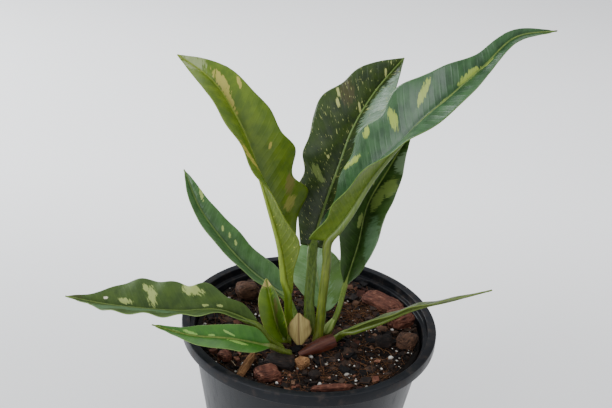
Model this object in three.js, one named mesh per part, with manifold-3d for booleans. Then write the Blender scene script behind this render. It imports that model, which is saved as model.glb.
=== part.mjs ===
// Potted philodendron: a round nursery pot holding potting mix, a rooted stem crown, ten folded
// leaves on their stalks, three sheaths at the crown and loose bark lying on the mix.
// Millimetres, +Z up. The origin is the centre of the pot's flat base.
import * as THREE from "three";
import { mergeVertices } from "three/addons/utils/BufferGeometryUtils.js";
import { LoftGeometry } from "three/addons/geometries/LoftGeometry.js";
import Module from "manifold-3d";

const wasm = await Module();
wasm.setup();

// ---- Driving dimensions ----

// The pot
const RIM_RADIUS = 82.5; // outside of the rolled lip
const POT_HEIGHT = 145; // floor to the top of the rim
const POT_WALL = 1.5;
const FLOOR_THICKNESS = 1.8;
const BASE_RADIUS = 53;
const BASE_CHAMFER = 1.5;
const LIP_DROP = 7.2; // how far the lip turns down outside
const LIP_GAP = 2.4; // open groove between the lip and the collar
const RIM_ROUND = 0.7;
const COLLAR_WIDTH = 3.0; // step from the body wall out to the collar
const LEDGE_DEPTH = 5.5; // from the rim down to the inner ledge
const DRAIN_COUNT = 8;
const DRAIN_RADIUS = 5;
const DRAIN_EDGE = 3; // from a drain hole to the inside of the wall
const POT_SEGMENTS = 48;

// The potting mix and what stands in it
const MIX_BELOW_RIM = 9;
const MIX_EDGE_DROP = 2; // rounding of the mix where it meets the wall
const GAP = 0.3; // clearance between pieces that touch

// The stem: its crown, the stock below it and the roots
const CROWN_OFFSET_Y = -13; // the crown stands a little in front of the pot's axis
const CROWN_RADIUS = 21;
const CROWN_ABOVE_MIX = 1;
const CROWN_DEPTH = 7;
const STOCK_RADIUS = 9;
const STOCK_LENGTH = 34;
const ROOT_RADIUS = 2.4;
const ROOT_TIP_RADIUS = 1.2;
const ROOT_COUNT = 5;
const ROOT_REACH = 27;
const ROOT_FALL = 62;

// Leaves and sheaths
const BLADE_THICKNESS = 0.9;
const TIP_RADIUS = 0.5; // half the thickness of a leaf at its very tip
const JOIN_SHARE = 0.07; // share of the blade over which the round stalk flattens out
const STALK_STEPS = 5;
const STEPS_PER_WIDTH = 2; // blade sections between one listed half-width and the next

// Each leaf stands on the crown. Its points are measured from the centre of the crown's top.
// stalk and midrib: the route it grew along, stalk first.
// left and right: half-widths at even steps from the blade's base to its tip.
// facing: which way the upper side looks, at even steps. fold: how far each half rises, in
// degrees, at the base, the middle and the tip.
const LEAVES = {
  leaf_tall_left: {
    finish: "leaf_yellow_green",
    stalkRadius: 2.8,
    stalk: [[-9, 2, 0], [-13, 4, 14], [-15, 7, 30]],
    midrib: [[-20, 10, 58], [-29, 14, 85], [-39, 19, 111], [-51, 25, 136], [-68, 32, 158], [-91, 37, 172]],
    left: [3, 7, 16, 25, 29, 25, 28.5, 21.5, 21, 16, 13, 7, 0],
    right: [3, 5, 9, 17, 29, 21, 29, 21.5, 21.5, 16, 13, 7, 0],
    facing: [[0.95, 0.2, 0.25], [0.9, -0.2, 0.35], [0.65, -0.52, 0.55], [0.25, -0.75, 0.6]],
    fold: [50, 32, 22],
  },
  leaf_tall_back: {
    finish: "leaf_dark_green",
    stalkRadius: 3.4,
    stalk: [[1, 9, 0], [-1, 17, 18], [-1, 24, 37], [-1, 31, 52]],
    midrib: [[4, 36, 78], [11, 42, 104], [18, 49, 128], [30, 56, 151], [46, 60, 173]],
    left: [9, 13, 17.5, 22, 20.5, 25, 24.5, 26, 26.5, 20, 17, 10, 0],
    right: [10, 13, 17.5, 22, 22, 24, 25, 25, 24, 20, 16, 9.5, 0],
    facing: [[0, -0.98, 0.15], [-0.1, -0.95, 0.25], [-0.35, -0.83, 0.4], [-0.35, -0.8, 0.45]],
    fold: [20, 25, 30],
  },
  leaf_tall_right: {
    finish: "leaf_blue_green",
    stalkRadius: 3.0,
    stalk: [[6, -2, 0], [7, 2, 29], [8, 4, 54], [8, 6, 70]],
    midrib: [[19, 6, 91], [29, 5, 113], [41, 5, 133], [55, 5, 153], [71, 5, 171], [87, 8, 188], [103, 12, 205], [126, 14, 210]],
    left: [13, 15, 20, 22, 26.5, 22, 24.5, 20.5, 15, 8.5, 5.5, 3, 0],
    right: [15, 15, 20.5, 22, 25, 22, 24, 20, 15, 8.5, 5.5, 3, 0],
    facing: [[-0.88, 0.24, 0.42], [-0.84, -0.15, 0.5], [-0.55, -0.62, 0.56], [-0.3, -0.8, 0.5]],
    fold: [45, 30, 25],
  },
  leaf_back_right: {
    finish: "leaf_dark_green",
    stalkRadius: 1.8,
    stalk: [[12, 7, 0], [18, 15, 13], [22, 29, 27]],
    midrib: [[28, 37, 52], [32, 42, 79], [44, 49, 104], [56, 55, 129]],
    left: [2.5, 9, 12, 15, 17, 16.5, 15.5, 15, 12.5, 10, 6.5, 3.5, 0],
    right: [2.5, 9, 12, 15, 17, 16.5, 15.5, 15, 12.5, 10, 6.5, 3.5, 0],
    facing: [[-0.05, -0.97, 0.24], [-0.15, -0.96, 0.25], [0.17, -0.97, 0.2], [-0.1, -0.96, 0.28]],
    fold: [45, 40, 30],
  },
  leaf_back_short: {
    finish: "leaf_blue_green",
    stalkRadius: 2.5,
    stalk: [[7, 13, 0], [8, 18, 3], [8, 25, 8]],
    midrib: [[5, 37, 18], [0, 48, 32], [-5, 56, 47]],
    left: [6, 13, 16, 18, 18, 16, 12, 7, 0],
    right: [7, 14, 17, 18, 18, 16, 12, 7, 0],
    facing: [[0.3, -0.8, 0.5], [0.12, -0.85, 0.5], [0, -0.88, 0.5], [-0.2, -0.9, 0.4]],
    fold: [30, 20, 15],
  },
  leaf_back_left: {
    finish: "leaf_mid_green",
    stalkRadius: 2.4,
    stalk: [[-6, 9, 0], [-11, 18, 9], [-18, 25, 16]],
    midrib: [[-41, 39, 25], [-61, 49, 40], [-79, 59, 59], [-91, 68, 82]],
    left: [3, 12, 12.5, 12, 12, 10.5, 8, 5, 0],
    right: [3, 12, 12.5, 12, 12, 10.5, 8, 5, 0],
    facing: [[0.2, -0.25, 0.94], [0.33, -0.33, 0.88], [0.42, -0.52, 0.74], [0.35, -0.7, 0.6]],
    fold: [35, 30, 25],
  },
  leaf_low_left: {
    finish: "leaf_mid_green",
    stalkRadius: 2.0,
    stalk: [[-15, -12, 0], [-19, -15, 4], [-25, -19, 12], [-33, -20, 22]],
    midrib: [[-55, -18, 29], [-80, -16, 25], [-105, -12, 22], [-130, -7, 20], [-155, -3, 21]],
    left: [2.5, 5, 8, 16, 15, 19, 18, 20, 19, 15, 8, 3.5, 0],
    right: [2.5, 8, 8, 17, 15, 19, 18, 20.5, 19, 15, 8, 3.5, 0],
    facing: [[0.1, -0.25, 0.96], [-0.15, -0.17, 0.97], [-0.1, -0.06, 0.99], [0, -0.15, 0.99]],
    fold: [35, 30, 20],
  },
  leaf_low_front: {
    finish: "leaf_mid_green",
    stalkRadius: 1.8,
    stalk: [[-10, -17, 0], [-17, -24, 7], [-24, -29, 13]],
    midrib: [[-46, -36, 21], [-70, -40, 24], [-93, -41, 30]],
    left: [2.5, 8, 9, 8, 7.3, 6, 3.6, 1.8, 0],
    right: [2.5, 8.7, 9.2, 8.2, 7.3, 6, 3.6, 1.8, 0],
    facing: [[0.5, -0.4, 0.77], [0.3, -0.6, 0.75], [0.24, -0.6, 0.76], [0.2, -0.6, 0.76]],
    fold: [30, 18, 10],
  },
  leaf_small_cupped: {
    finish: "leaf_yellow_green",
    stalkRadius: 2.4,
    stalk: [[-12, -4, 0], [-15, -5, 2.5]],
    midrib: [[-18, -5, 7], [-21, -4, 14], [-25, -1, 27], [-29, 3, 41]],
    left: [4, 8, 10, 10, 10, 9, 7.5, 4.5, 0],
    right: [4, 8, 9.5, 9.5, 9.5, 8.5, 7, 4, 0],
    facing: [[0, -0.99, 0.1], [0.05, -0.98, 0.12], [-0.1, -0.96, 0.2], [-0.05, -0.95, 0.28]],
    fold: [50, 42, 25],
  },
  leaf_low_right: {
    finish: "leaf_mid_green",
    stalkRadius: 2.2,
    stalk: [[15, 1, 0], [19, 1, 3], [24, 0, 8]],
    midrib: [[43, -3, 19], [65, -2, 31], [88, 0, 38], [112, 3, 46]],
    left: [3, 8, 9.5, 9, 9, 8, 6, 3.5, 0],
    right: [3, 8, 9.5, 9, 9, 8, 6, 3.5, 0],
    facing: [[-0.45, 0.45, 0.75], [-0.4, 0.45, 0.78], [-0.3, 0.45, 0.82], [-0.3, 0.45, 0.82]],
    fold: [22, 10, 8],
  },
};

// Sheaths are leaf bases that dried or are still rolled. They are described as the leaves are.
const SHEATHS = {
  sheath_cream: {
    finish: "sheath_cream",
    stalkRadius: 2.2,
    stalk: [[-4, -13, 0], [-5, -13, 4]],
    midrib: [[-6, -12, 12], [-7, -9, 25]],
    left: [2.5, 5, 7.5, 8.7, 8.2, 7, 5, 2.8, 0.9],
    right: [2.5, 5, 7.5, 8.5, 8.5, 7.6, 7, 3.6, 0.9],
    facing: [[-0.1, -0.97, 0.2], [-0.1, -0.97, 0.2], [-0.1, -0.97, 0.2], [-0.1, -0.97, 0.2]],
    fold: [-30, -25, -15],
  },
  sheath_brown: {
    finish: "sheath_brown",
    stalkRadius: 2.0,
    stalk: [[-9, -22, 0], [-5, -21, 3]],
    midrib: [[6, -15.5, 7], [17, -10.5, 10]],
    left: [2, 3, 4.2, 5, 5.8, 6.2, 6.2, 6, 5],
    right: [2, 3, 4.2, 5, 5.8, 6.2, 6.2, 6, 5],
    facing: [[0, -0.6, 0.8], [0, -0.6, 0.8], [0, -0.6, 0.8], [0, -0.6, 0.8]],
    fold: [-40, -40, -35],
  },
  sheath_bud: {
    finish: "sheath_green",
    stalkRadius: 1.5,
    stalk: [[11, 3.3, 0], [11, 3.2, 3]],
    midrib: [[12, 3.1, 7], [15, 4, 14]],
    left: [2, 3, 3.6, 3.8, 3.5, 3, 2.4, 1.8, 1.4],
    right: [2, 3, 3.6, 3.8, 3.5, 3, 2.4, 1.8, 1.4],
    facing: [[-0.2, -0.95, 0.2], [-0.2, -0.95, 0.2], [-0.2, -0.95, 0.2], [-0.2, -0.95, 0.2]],
    fold: [-45, -40, -30],
  },
};

// Loose bark: reach is its place as a share of the mix's radius, bearing its direction from +X,
// size its length, width and height, turn its heading and lean its pitch, in degrees.
const BARK = {
  bark_round_nugget: { reach: 0.77, bearing: 141, size: [15, 14, 10], turn: 20, lean: 0, finish: "bark_brown" },
  bark_flat_red: { reach: 0.83, bearing: 38, size: [28, 17, 5], turn: -38, lean: 0, finish: "bark_red" },
  bark_shaggy_red: { reach: 0.84, bearing: 14, size: [18, 15, 9], turn: 30, lean: 0, finish: "bark_red" },
  bark_dark_right: { reach: 0.68, bearing: -13, size: [10, 9, 7], turn: 10, lean: 0, finish: "bark_dark" },
  bark_wedge: { reach: 0.87, bearing: -9, size: [14, 12, 8], turn: 70, lean: 0, finish: "bark_brown" },
  bark_small_nugget: { reach: 0.66, bearing: 4, size: [6, 5, 4], turn: 0, lean: 0, finish: "bark_brown" },
  bark_front_dark: { reach: 0.62, bearing: -111, size: [18, 12, 6], turn: -12, lean: 0, finish: "bark_dark" },
  bark_front_tan: { reach: 0.57, bearing: -94, size: [9, 8, 6], turn: 55, lean: 0, finish: "wood_pale" },
  bark_front_red: { reach: 0.81, bearing: -113, size: [15, 13, 6], turn: 25, lean: 0, finish: "bark_red" },
  bark_splinter: { reach: 0.84, bearing: -126, size: [20, 4.5, 4], turn: 68, lean: -18, finish: "wood_pale" },
  bark_front_nugget: { reach: 0.72, bearing: -84, size: [7, 6, 5], turn: 40, lean: 0, finish: "bark_dark" },
  bark_rim_strip: { reach: 0.89, bearing: -76, size: [24, 5, 4], turn: 12, lean: 0, finish: "bark_red" },
  bark_left_chip: { reach: 0.87, bearing: -142, size: [9, 7, 5], turn: -40, lean: 0, finish: "bark_red" },
};

// ---- Worked-out sizes ----

const rimTop = POT_HEIGHT;
const ledgeTop = rimTop - LEDGE_DEPTH;
const lipInside = RIM_RADIUS - POT_WALL;
const collarOutside = lipInside - LIP_GAP;
const collarInside = collarOutside - POT_WALL;
const bodyTopRadius = collarOutside - COLLAR_WIDTH;
const bodyTopHeight = ledgeTop - POT_WALL;
const mixTop = rimTop - MIX_BELOW_RIM;
const crownTop = mixTop + CROWN_ABOVE_MIX;

// Outside radius of the pot's tapered body at a height, and the radius inside its wall.
const bodyRadius = (z) => THREE.MathUtils.lerp(BASE_RADIUS, bodyTopRadius, z / bodyTopHeight);
const insideRadius = (z) => bodyRadius(z) - POT_WALL;
const mixRadius = insideRadius(mixTop) - GAP;

// ---- Finishes ----

const finish = (color, roughness) => new THREE.MeshStandardMaterial({ color, roughness, metalness: 0 });
const FINISHES = {
  pot_plastic: finish(0x23272b, 0.38),
  potting_mix: finish(0x2a1d15, 0.95),
  stem: finish(0x6c5a3a, 0.8),
  leaf_yellow_green: finish(0x6a8a25, 0.42),
  leaf_dark_green: finish(0x37451d, 0.4),
  leaf_blue_green: finish(0x3e7050, 0.36),
  leaf_mid_green: finish(0x4b752c, 0.4),
  sheath_cream: finish(0xbcae82, 0.7),
  sheath_brown: finish(0x6e3223, 0.35),
  sheath_green: finish(0x86a64a, 0.5),
  bark_brown: finish(0x6a4c3c, 0.9),
  bark_red: finish(0x7d3c24, 0.9),
  bark_dark: finish(0x33241e, 0.9),
  wood_pale: finish(0x9a7650, 0.85),
};

// ---- Helpers ----

// A closed geometry as a solid that can be joined and cut, and a solid back as a geometry.
function solidOf(geometry) {
  geometry.deleteAttribute("normal");
  geometry.deleteAttribute("uv");
  const merged = mergeVertices(geometry, 1e-4);
  return new wasm.Manifold(
    new wasm.Mesh({
      numProp: 3,
      vertProperties: merged.attributes.position.array,
      triVerts: new Uint32Array(merged.index.array),
    }),
  );
}

function geometryOf(solid) {
  const { vertProperties, triVerts } = solid.getMesh();
  const geometry = new THREE.BufferGeometry();
  geometry.setAttribute("position", new THREE.BufferAttribute(vertProperties, 3));
  geometry.setIndex(new THREE.BufferAttribute(triVerts, 1));
  return geometry;
}

// A profile of [radius, height] points turned about the Z axis.
function lathe(profile, segments) {
  const points = profile.map(([radius, height]) => new THREE.Vector2(radius, height));
  return new THREE.LatheGeometry(points, segments).rotateX(Math.PI / 2);
}

// The value at a share of the way through a list of numbers or vectors that is spread evenly.
function along(list, share) {
  const spot = THREE.MathUtils.clamp(share, 0, 1) * (list.length - 1);
  const index = Math.min(Math.floor(spot), list.length - 2);
  const part = spot - index;
  if (typeof list[0] === "number") return THREE.MathUtils.lerp(list[index], list[index + 1], part);
  return list[index].clone().lerp(list[index + 1], part);
}

function place(group, name, geometry, material) {
  const mesh = new THREE.Mesh(geometry, FINISHES[material]);
  mesh.name = name;
  group.add(mesh);
  return mesh;
}

// ---- The pot ----

function potGeometry() {
  const shell = lathe(
    [
      [0, 0],
      [BASE_RADIUS - BASE_CHAMFER, 0],
      [bodyRadius(BASE_CHAMFER), BASE_CHAMFER],
      [bodyTopRadius, bodyTopHeight],
      [collarOutside, bodyTopHeight],
      [collarOutside, rimTop - POT_WALL],
      [lipInside, rimTop - POT_WALL],
      [lipInside, rimTop - LIP_DROP],
      [RIM_RADIUS, rimTop - LIP_DROP],
      [RIM_RADIUS, rimTop - RIM_ROUND],
      [RIM_RADIUS - RIM_ROUND, rimTop],
      [collarInside + RIM_ROUND, rimTop],
      [collarInside, rimTop - RIM_ROUND],
      [collarInside, ledgeTop],
      [insideRadius(ledgeTop), ledgeTop],
      [insideRadius(FLOOR_THICKNESS), FLOOR_THICKNESS],
      [0, FLOOR_THICKNESS],
    ],
    POT_SEGMENTS,
  );
  let pot = solidOf(shell);
  const ring = insideRadius(FLOOR_THICKNESS) - DRAIN_EDGE - DRAIN_RADIUS;
  for (let i = 0; i < DRAIN_COUNT; i += 1) {
    const angle = ((i + 0.5) * 2 * Math.PI) / DRAIN_COUNT;
    const hole = new THREE.CylinderGeometry(DRAIN_RADIUS, DRAIN_RADIUS, 4 * FLOOR_THICKNESS, 16);
    hole.rotateX(Math.PI / 2);
    hole.translate(ring * Math.cos(angle), ring * Math.sin(angle), 0);
    pot = pot.subtract(solidOf(hole));
  }
  return geometryOf(pot);
}

// ---- The stem with its roots, and the mix round it ----

// A round tube that tapers along its route, closed at both ends.
function taperedTube(points, startRadius, endRadius, sides, steps) {
  const curve = new THREE.CatmullRomCurve3(points);
  const frames = curve.computeFrenetFrames(steps, false);
  const sections = [];
  for (let i = 0; i <= steps; i += 1) {
    const centre = curve.getPointAt(i / steps);
    const radius = THREE.MathUtils.lerp(startRadius, endRadius, i / steps);
    const ring = [];
    for (let j = 0; j < sides; j += 1) {
      const angle = (j * 2 * Math.PI) / sides;
      const point = centre.clone();
      point.addScaledVector(frames.normals[i], radius * Math.cos(angle));
      point.addScaledVector(frames.binormals[i], radius * Math.sin(angle));
      ring.push(point);
    }
    sections.push(ring);
  }
  return new LoftGeometry(sections, { capStart: true, capEnd: true });
}

// The stem, measured from its crown's top. grow thickens it on every side, for the room that
// the mix leaves round it.
function stemSolid(grow) {
  const stock = lathe(
    [
      [0, -STOCK_LENGTH - grow],
      [STOCK_RADIUS * 0.6 + grow, -STOCK_LENGTH - grow],
      [STOCK_RADIUS + grow, -STOCK_LENGTH + STOCK_RADIUS * 0.6],
      [STOCK_RADIUS + grow, -CROWN_DEPTH * 1.8 - grow],
      [CROWN_RADIUS + grow, -CROWN_DEPTH - grow],
      [CROWN_RADIUS + grow, grow],
      [0, grow],
    ],
    28,
  );
  let stem = solidOf(stock);
  for (let i = 0; i < ROOT_COUNT; i += 1) {
    const bearing = (i * 2 * Math.PI) / ROOT_COUNT + 0.4;
    const at = (reach, turn, z) =>
      new THREE.Vector3(reach * Math.cos(bearing + turn), reach * Math.sin(bearing + turn), z);
    const start = -STOCK_LENGTH * 0.55;
    const route = [
      at(STOCK_RADIUS * 0.5, 0, start),
      at(ROOT_REACH * 0.7, 0.1, start - ROOT_FALL * 0.18),
      at(ROOT_REACH, 0.3, start - ROOT_FALL * 0.55),
      at(ROOT_REACH * 0.9, 0.5, start - ROOT_FALL - grow),
    ];
    stem = stem.add(solidOf(taperedTube(route, ROOT_RADIUS + grow, ROOT_TIP_RADIUS + grow, 7, 8)));
  }
  return stem;
}

function mixGeometry() {
  const bottom = FLOOR_THICKNESS + GAP;
  const body = lathe(
    [
      [0, bottom],
      [insideRadius(bottom) - GAP, bottom],
      [insideRadius(mixTop - MIX_EDGE_DROP) - GAP, mixTop - MIX_EDGE_DROP],
      [mixRadius - MIX_EDGE_DROP, mixTop],
      [0, mixTop],
    ],
    POT_SEGMENTS,
  );
  const room = stemSolid(GAP).translate([0, CROWN_OFFSET_Y, crownTop]);
  return geometryOf(solidOf(body).subtract(room));
}

// ---- Leaves and sheaths ----

// Where each point of a leaf's section lies: side -1 is the left margin, 1 the right margin.
// angle is the same point's place round the stalk, in degrees.
const SECTION = [
  { side: -1, under: false, angle: 165 },
  { side: -0.5, under: false, angle: 130 },
  { side: 0, under: false, angle: 90 },
  { side: 0.5, under: false, angle: 50 },
  { side: 1, under: false, angle: 15 },
  { side: 1, under: true, angle: -15 },
  { side: 0.5, under: true, angle: -45 },
  { side: 0, under: true, angle: -90 },
  { side: -0.5, under: true, angle: -135 },
  { side: -1, under: true, angle: -165 },
];

function leafGeometry(leaf) {
  const vector = ([x, y, z]) => new THREE.Vector3(x, y, z);
  const points = [...leaf.stalk, ...leaf.midrib].map(vector);
  const route = new THREE.CatmullRomCurve3(points, false, "catmullrom");
  const facing = leaf.facing.map(vector);
  const lengths = route.getLengths();
  const joint = (leaf.stalk.length - 1) / (points.length - 1);
  const stalkShare = along(lengths, joint) / lengths[lengths.length - 1];

  // The points of one section: share is its place along the whole leaf.
  const section = (share) => {
    const blade = Math.max(0, (share - stalkShare) / (1 - stalkShare));
    const centre = route.getPointAt(share);
    const forward = route.getTangentAt(share);
    const face = along(facing, blade);
    face.addScaledVector(forward, -face.dot(forward)).normalize();
    const right = new THREE.Vector3().crossVectors(forward, face);
    const flat = THREE.MathUtils.smoothstep(blade, 0, JOIN_SHARE);
    const radius = THREE.MathUtils.lerp(leaf.stalkRadius, TIP_RADIUS, Math.sqrt(blade));
    const fold = THREE.MathUtils.degToRad(along(leaf.fold, blade));
    return SECTION.map(({ side, under, angle }) => {
      const turn = THREE.MathUtils.degToRad(angle);
      const round = new THREE.Vector3();
      round.addScaledVector(right, radius * Math.cos(turn));
      round.addScaledVector(face, radius * Math.sin(turn));
      const width = side < 0 ? along(leaf.left, blade) : along(leaf.right, blade);
      const reach = Math.max(width, 2 * TIP_RADIUS) * side;
      const depth = side === 0 ? radius + BLADE_THICKNESS / 2 : BLADE_THICKNESS;
      const spread = new THREE.Vector3();
      spread.addScaledVector(right, reach * Math.cos(fold));
      spread.addScaledVector(face, Math.abs(reach) * Math.sin(fold));
      if (under) {
        spread.addScaledVector(face, -depth * Math.cos(fold));
        spread.addScaledVector(right, Math.sign(side) * depth * Math.sin(fold));
      }
      const point = centre.clone().add(round.lerp(spread, flat));
      // The stalk is cut level where it stands on the crown.
      if (share === 0) point.addScaledVector(forward, -point.z / forward.z);
      point.z = Math.max(point.z, 0);
      return point;
    });
  };

  const sections = [];
  for (let i = 0; i < STALK_STEPS; i += 1) sections.push(section((stalkShare * i) / STALK_STEPS));
  const bladeSteps = STEPS_PER_WIDTH * (leaf.left.length - 1);
  for (let i = 0; i <= bladeSteps; i += 1) {
    sections.push(section(Math.min(1, stalkShare + ((1 - stalkShare) * i) / bladeSteps)));
  }
  return new LoftGeometry(sections, { capStart: true, capEnd: true });
}

// ---- Bark ----

// A rough chunk with rounded corners and a flat underside. seed sets its bumps.
function barkGeometry([length, width, height], seed) {
  const ball = new THREE.IcosahedronGeometry(1, 1);
  ball.deleteAttribute("normal");
  ball.deleteAttribute("uv");
  const chunk = mergeVertices(ball, 1e-4);
  const position = chunk.attributes.position;
  const square = (value) => Math.sign(value) * Math.abs(value) ** 0.7;
  for (let i = 0; i < position.count; i += 1) {
    const bump = 0.9 + 0.1 * Math.sin(12.9 * i + 4.1 * seed);
    const x = (square(position.getX(i)) * bump * length) / 2;
    const y = (square(position.getY(i)) * bump * width) / 2;
    const z = (Math.max(square(position.getZ(i)), -0.6) * bump * height) / 1.6;
    position.setXYZ(i, x, y, z);
  }
  return chunk;
}

function placeBark(group, name, bark, seed) {
  const mesh = place(group, name, barkGeometry(bark.size, seed), bark.finish);
  const bearing = THREE.MathUtils.degToRad(bark.bearing);
  const reach = bark.reach * mixRadius;
  mesh.rotation.order = "ZYX";
  mesh.rotation.z = THREE.MathUtils.degToRad(bark.turn);
  mesh.rotation.y = THREE.MathUtils.degToRad(bark.lean);
  mesh.position.set(reach * Math.cos(bearing), reach * Math.sin(bearing), 0);
  const lowest = new THREE.Box3().setFromObject(mesh, true).min.z;
  mesh.position.z = mixTop + GAP - lowest;
}

// ---- Assembly ----

const group = new THREE.Group();
place(group, "nursery_pot", potGeometry(), "pot_plastic");
place(group, "potting_mix", mixGeometry(), "potting_mix");

const plant = new THREE.Group();
plant.position.set(0, CROWN_OFFSET_Y, crownTop);
group.add(plant);
place(plant, "stem_with_roots", geometryOf(stemSolid(0)), "stem");

const shoots = new THREE.Group();
shoots.position.z = GAP;
plant.add(shoots);
for (const [name, leaf] of Object.entries({ ...LEAVES, ...SHEATHS })) {
  place(shoots, name, leafGeometry(leaf), leaf.finish);
}

Object.entries(BARK).forEach(([name, bark], seed) => placeBark(group, name, bark, seed));

export default group;
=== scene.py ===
"""A young philodendron in a black nursery pot. Metres, +Z up, the origin under the pot's base."""

import functools
import math
import random

import bmesh
import bpy
from mathutils import Matrix, Vector, noise


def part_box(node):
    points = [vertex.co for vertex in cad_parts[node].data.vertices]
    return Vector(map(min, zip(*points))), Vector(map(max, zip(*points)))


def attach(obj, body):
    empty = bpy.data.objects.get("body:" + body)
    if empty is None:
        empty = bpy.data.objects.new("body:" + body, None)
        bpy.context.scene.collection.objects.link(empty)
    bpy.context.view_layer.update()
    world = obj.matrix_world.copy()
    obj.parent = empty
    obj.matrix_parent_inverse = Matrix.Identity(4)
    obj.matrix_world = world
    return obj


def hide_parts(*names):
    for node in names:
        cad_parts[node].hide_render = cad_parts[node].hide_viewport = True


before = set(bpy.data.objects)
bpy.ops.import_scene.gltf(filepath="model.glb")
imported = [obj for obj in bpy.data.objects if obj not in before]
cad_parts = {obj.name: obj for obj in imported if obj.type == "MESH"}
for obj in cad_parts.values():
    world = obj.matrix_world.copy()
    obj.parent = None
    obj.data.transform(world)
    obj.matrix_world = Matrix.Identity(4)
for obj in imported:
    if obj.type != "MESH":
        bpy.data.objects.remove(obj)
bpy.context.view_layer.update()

MM = 0.001
UP = Vector((0, 0, 1))
BODY = "root"

# ---- Camera ----

CAMERA_PLACE = Vector((0, -0.545, 0.4992))
CAMERA_HEADING = math.radians(0.784)
CAMERA_PITCH = math.radians(-26.476)
CAMERA_ROLL = math.radians(4.0206)
CAMERA_LENS = 58.36
SENSOR_WIDTH = 36


def set_camera():
    """Looks down at the plant from the front, with a slight roll."""
    camera = bpy.data.objects.new("camera", bpy.data.cameras.new("camera"))
    bpy.context.collection.objects.link(camera)
    turn = Matrix.Rotation(CAMERA_HEADING, 4, "Z")
    tip = Matrix.Rotation(math.pi / 2 + CAMERA_PITCH, 4, "X")
    roll = Matrix.Rotation(CAMERA_ROLL, 4, "Z")
    camera.matrix_world = Matrix.Translation(CAMERA_PLACE) @ turn @ tip @ roll
    camera.data.lens = CAMERA_LENS
    camera.data.sensor_width = SENSOR_WIDTH
    bpy.context.scene.camera = camera


# ---- Places taken from the frame ----

pot_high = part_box("nursery_pot")[1]
RIM_RADIUS = pot_high.x
RIM_TOP = pot_high.z
MIX_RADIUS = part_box("potting_mix")[1].x
MIX_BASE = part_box("potting_mix")[0].z
MIX_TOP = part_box("potting_mix")[1].z
CROWN_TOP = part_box("stem_with_roots")[1].z
CROWN_Y = -13 * MM
GAP = 0.3 * MM
CROWN = Vector((0, CROWN_Y, CROWN_TOP + GAP))

# ---- The pot's own sizes ----

POT_WALL = 1.5 * MM
FLOOR_THICKNESS = 1.8 * MM
BASE_RADIUS = 53 * MM
BASE_CHAMFER = 1.5 * MM
LIP_DROP = 7.2 * MM
LIP_GAP = 2.4 * MM
RIM_ROUND = 0.6 * MM
COLLAR_WIDTH = 3 * MM
LEDGE_DEPTH = 5.5 * MM
DRAIN_COUNT = 8
DRAIN_RADIUS = 5 * MM
DRAIN_EDGE = 3 * MM
POT_STEPS = 160
DRAIN_STEPS = 24

# ---- Leaves ----

LEAF_THICKNESS = 0.5 * MM
TIP_RADIUS = 0.35  # millimetres, of the midrib at the leaf's tip
ROWS = 132
COLUMNS = 40
QUILT_HEIGHT = 0.12 * MM
QUILT_PITCH = 9 * MM
GROOVE_DEPTH = 0.5 * MM
GROOVE_WIDTH = 1.3 * MM
LOBE_SHARE = 0.14  # of the blade's length, which its backward lobes take up
STALK_SIDES = 18
STALK_STEPS = 90
STALK_ROOTED = 6 * MM
SPAN_UNIT = 100  # millimetres that one unit of the blade's span map stands for
SPAN_SCALE = 1 / (SPAN_UNIT * MM)
VEIN_SPACING = 0.045  # span units between side veins
PATCH_SHARE = 0.88  # how much of a patch's own tint covers the green

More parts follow.
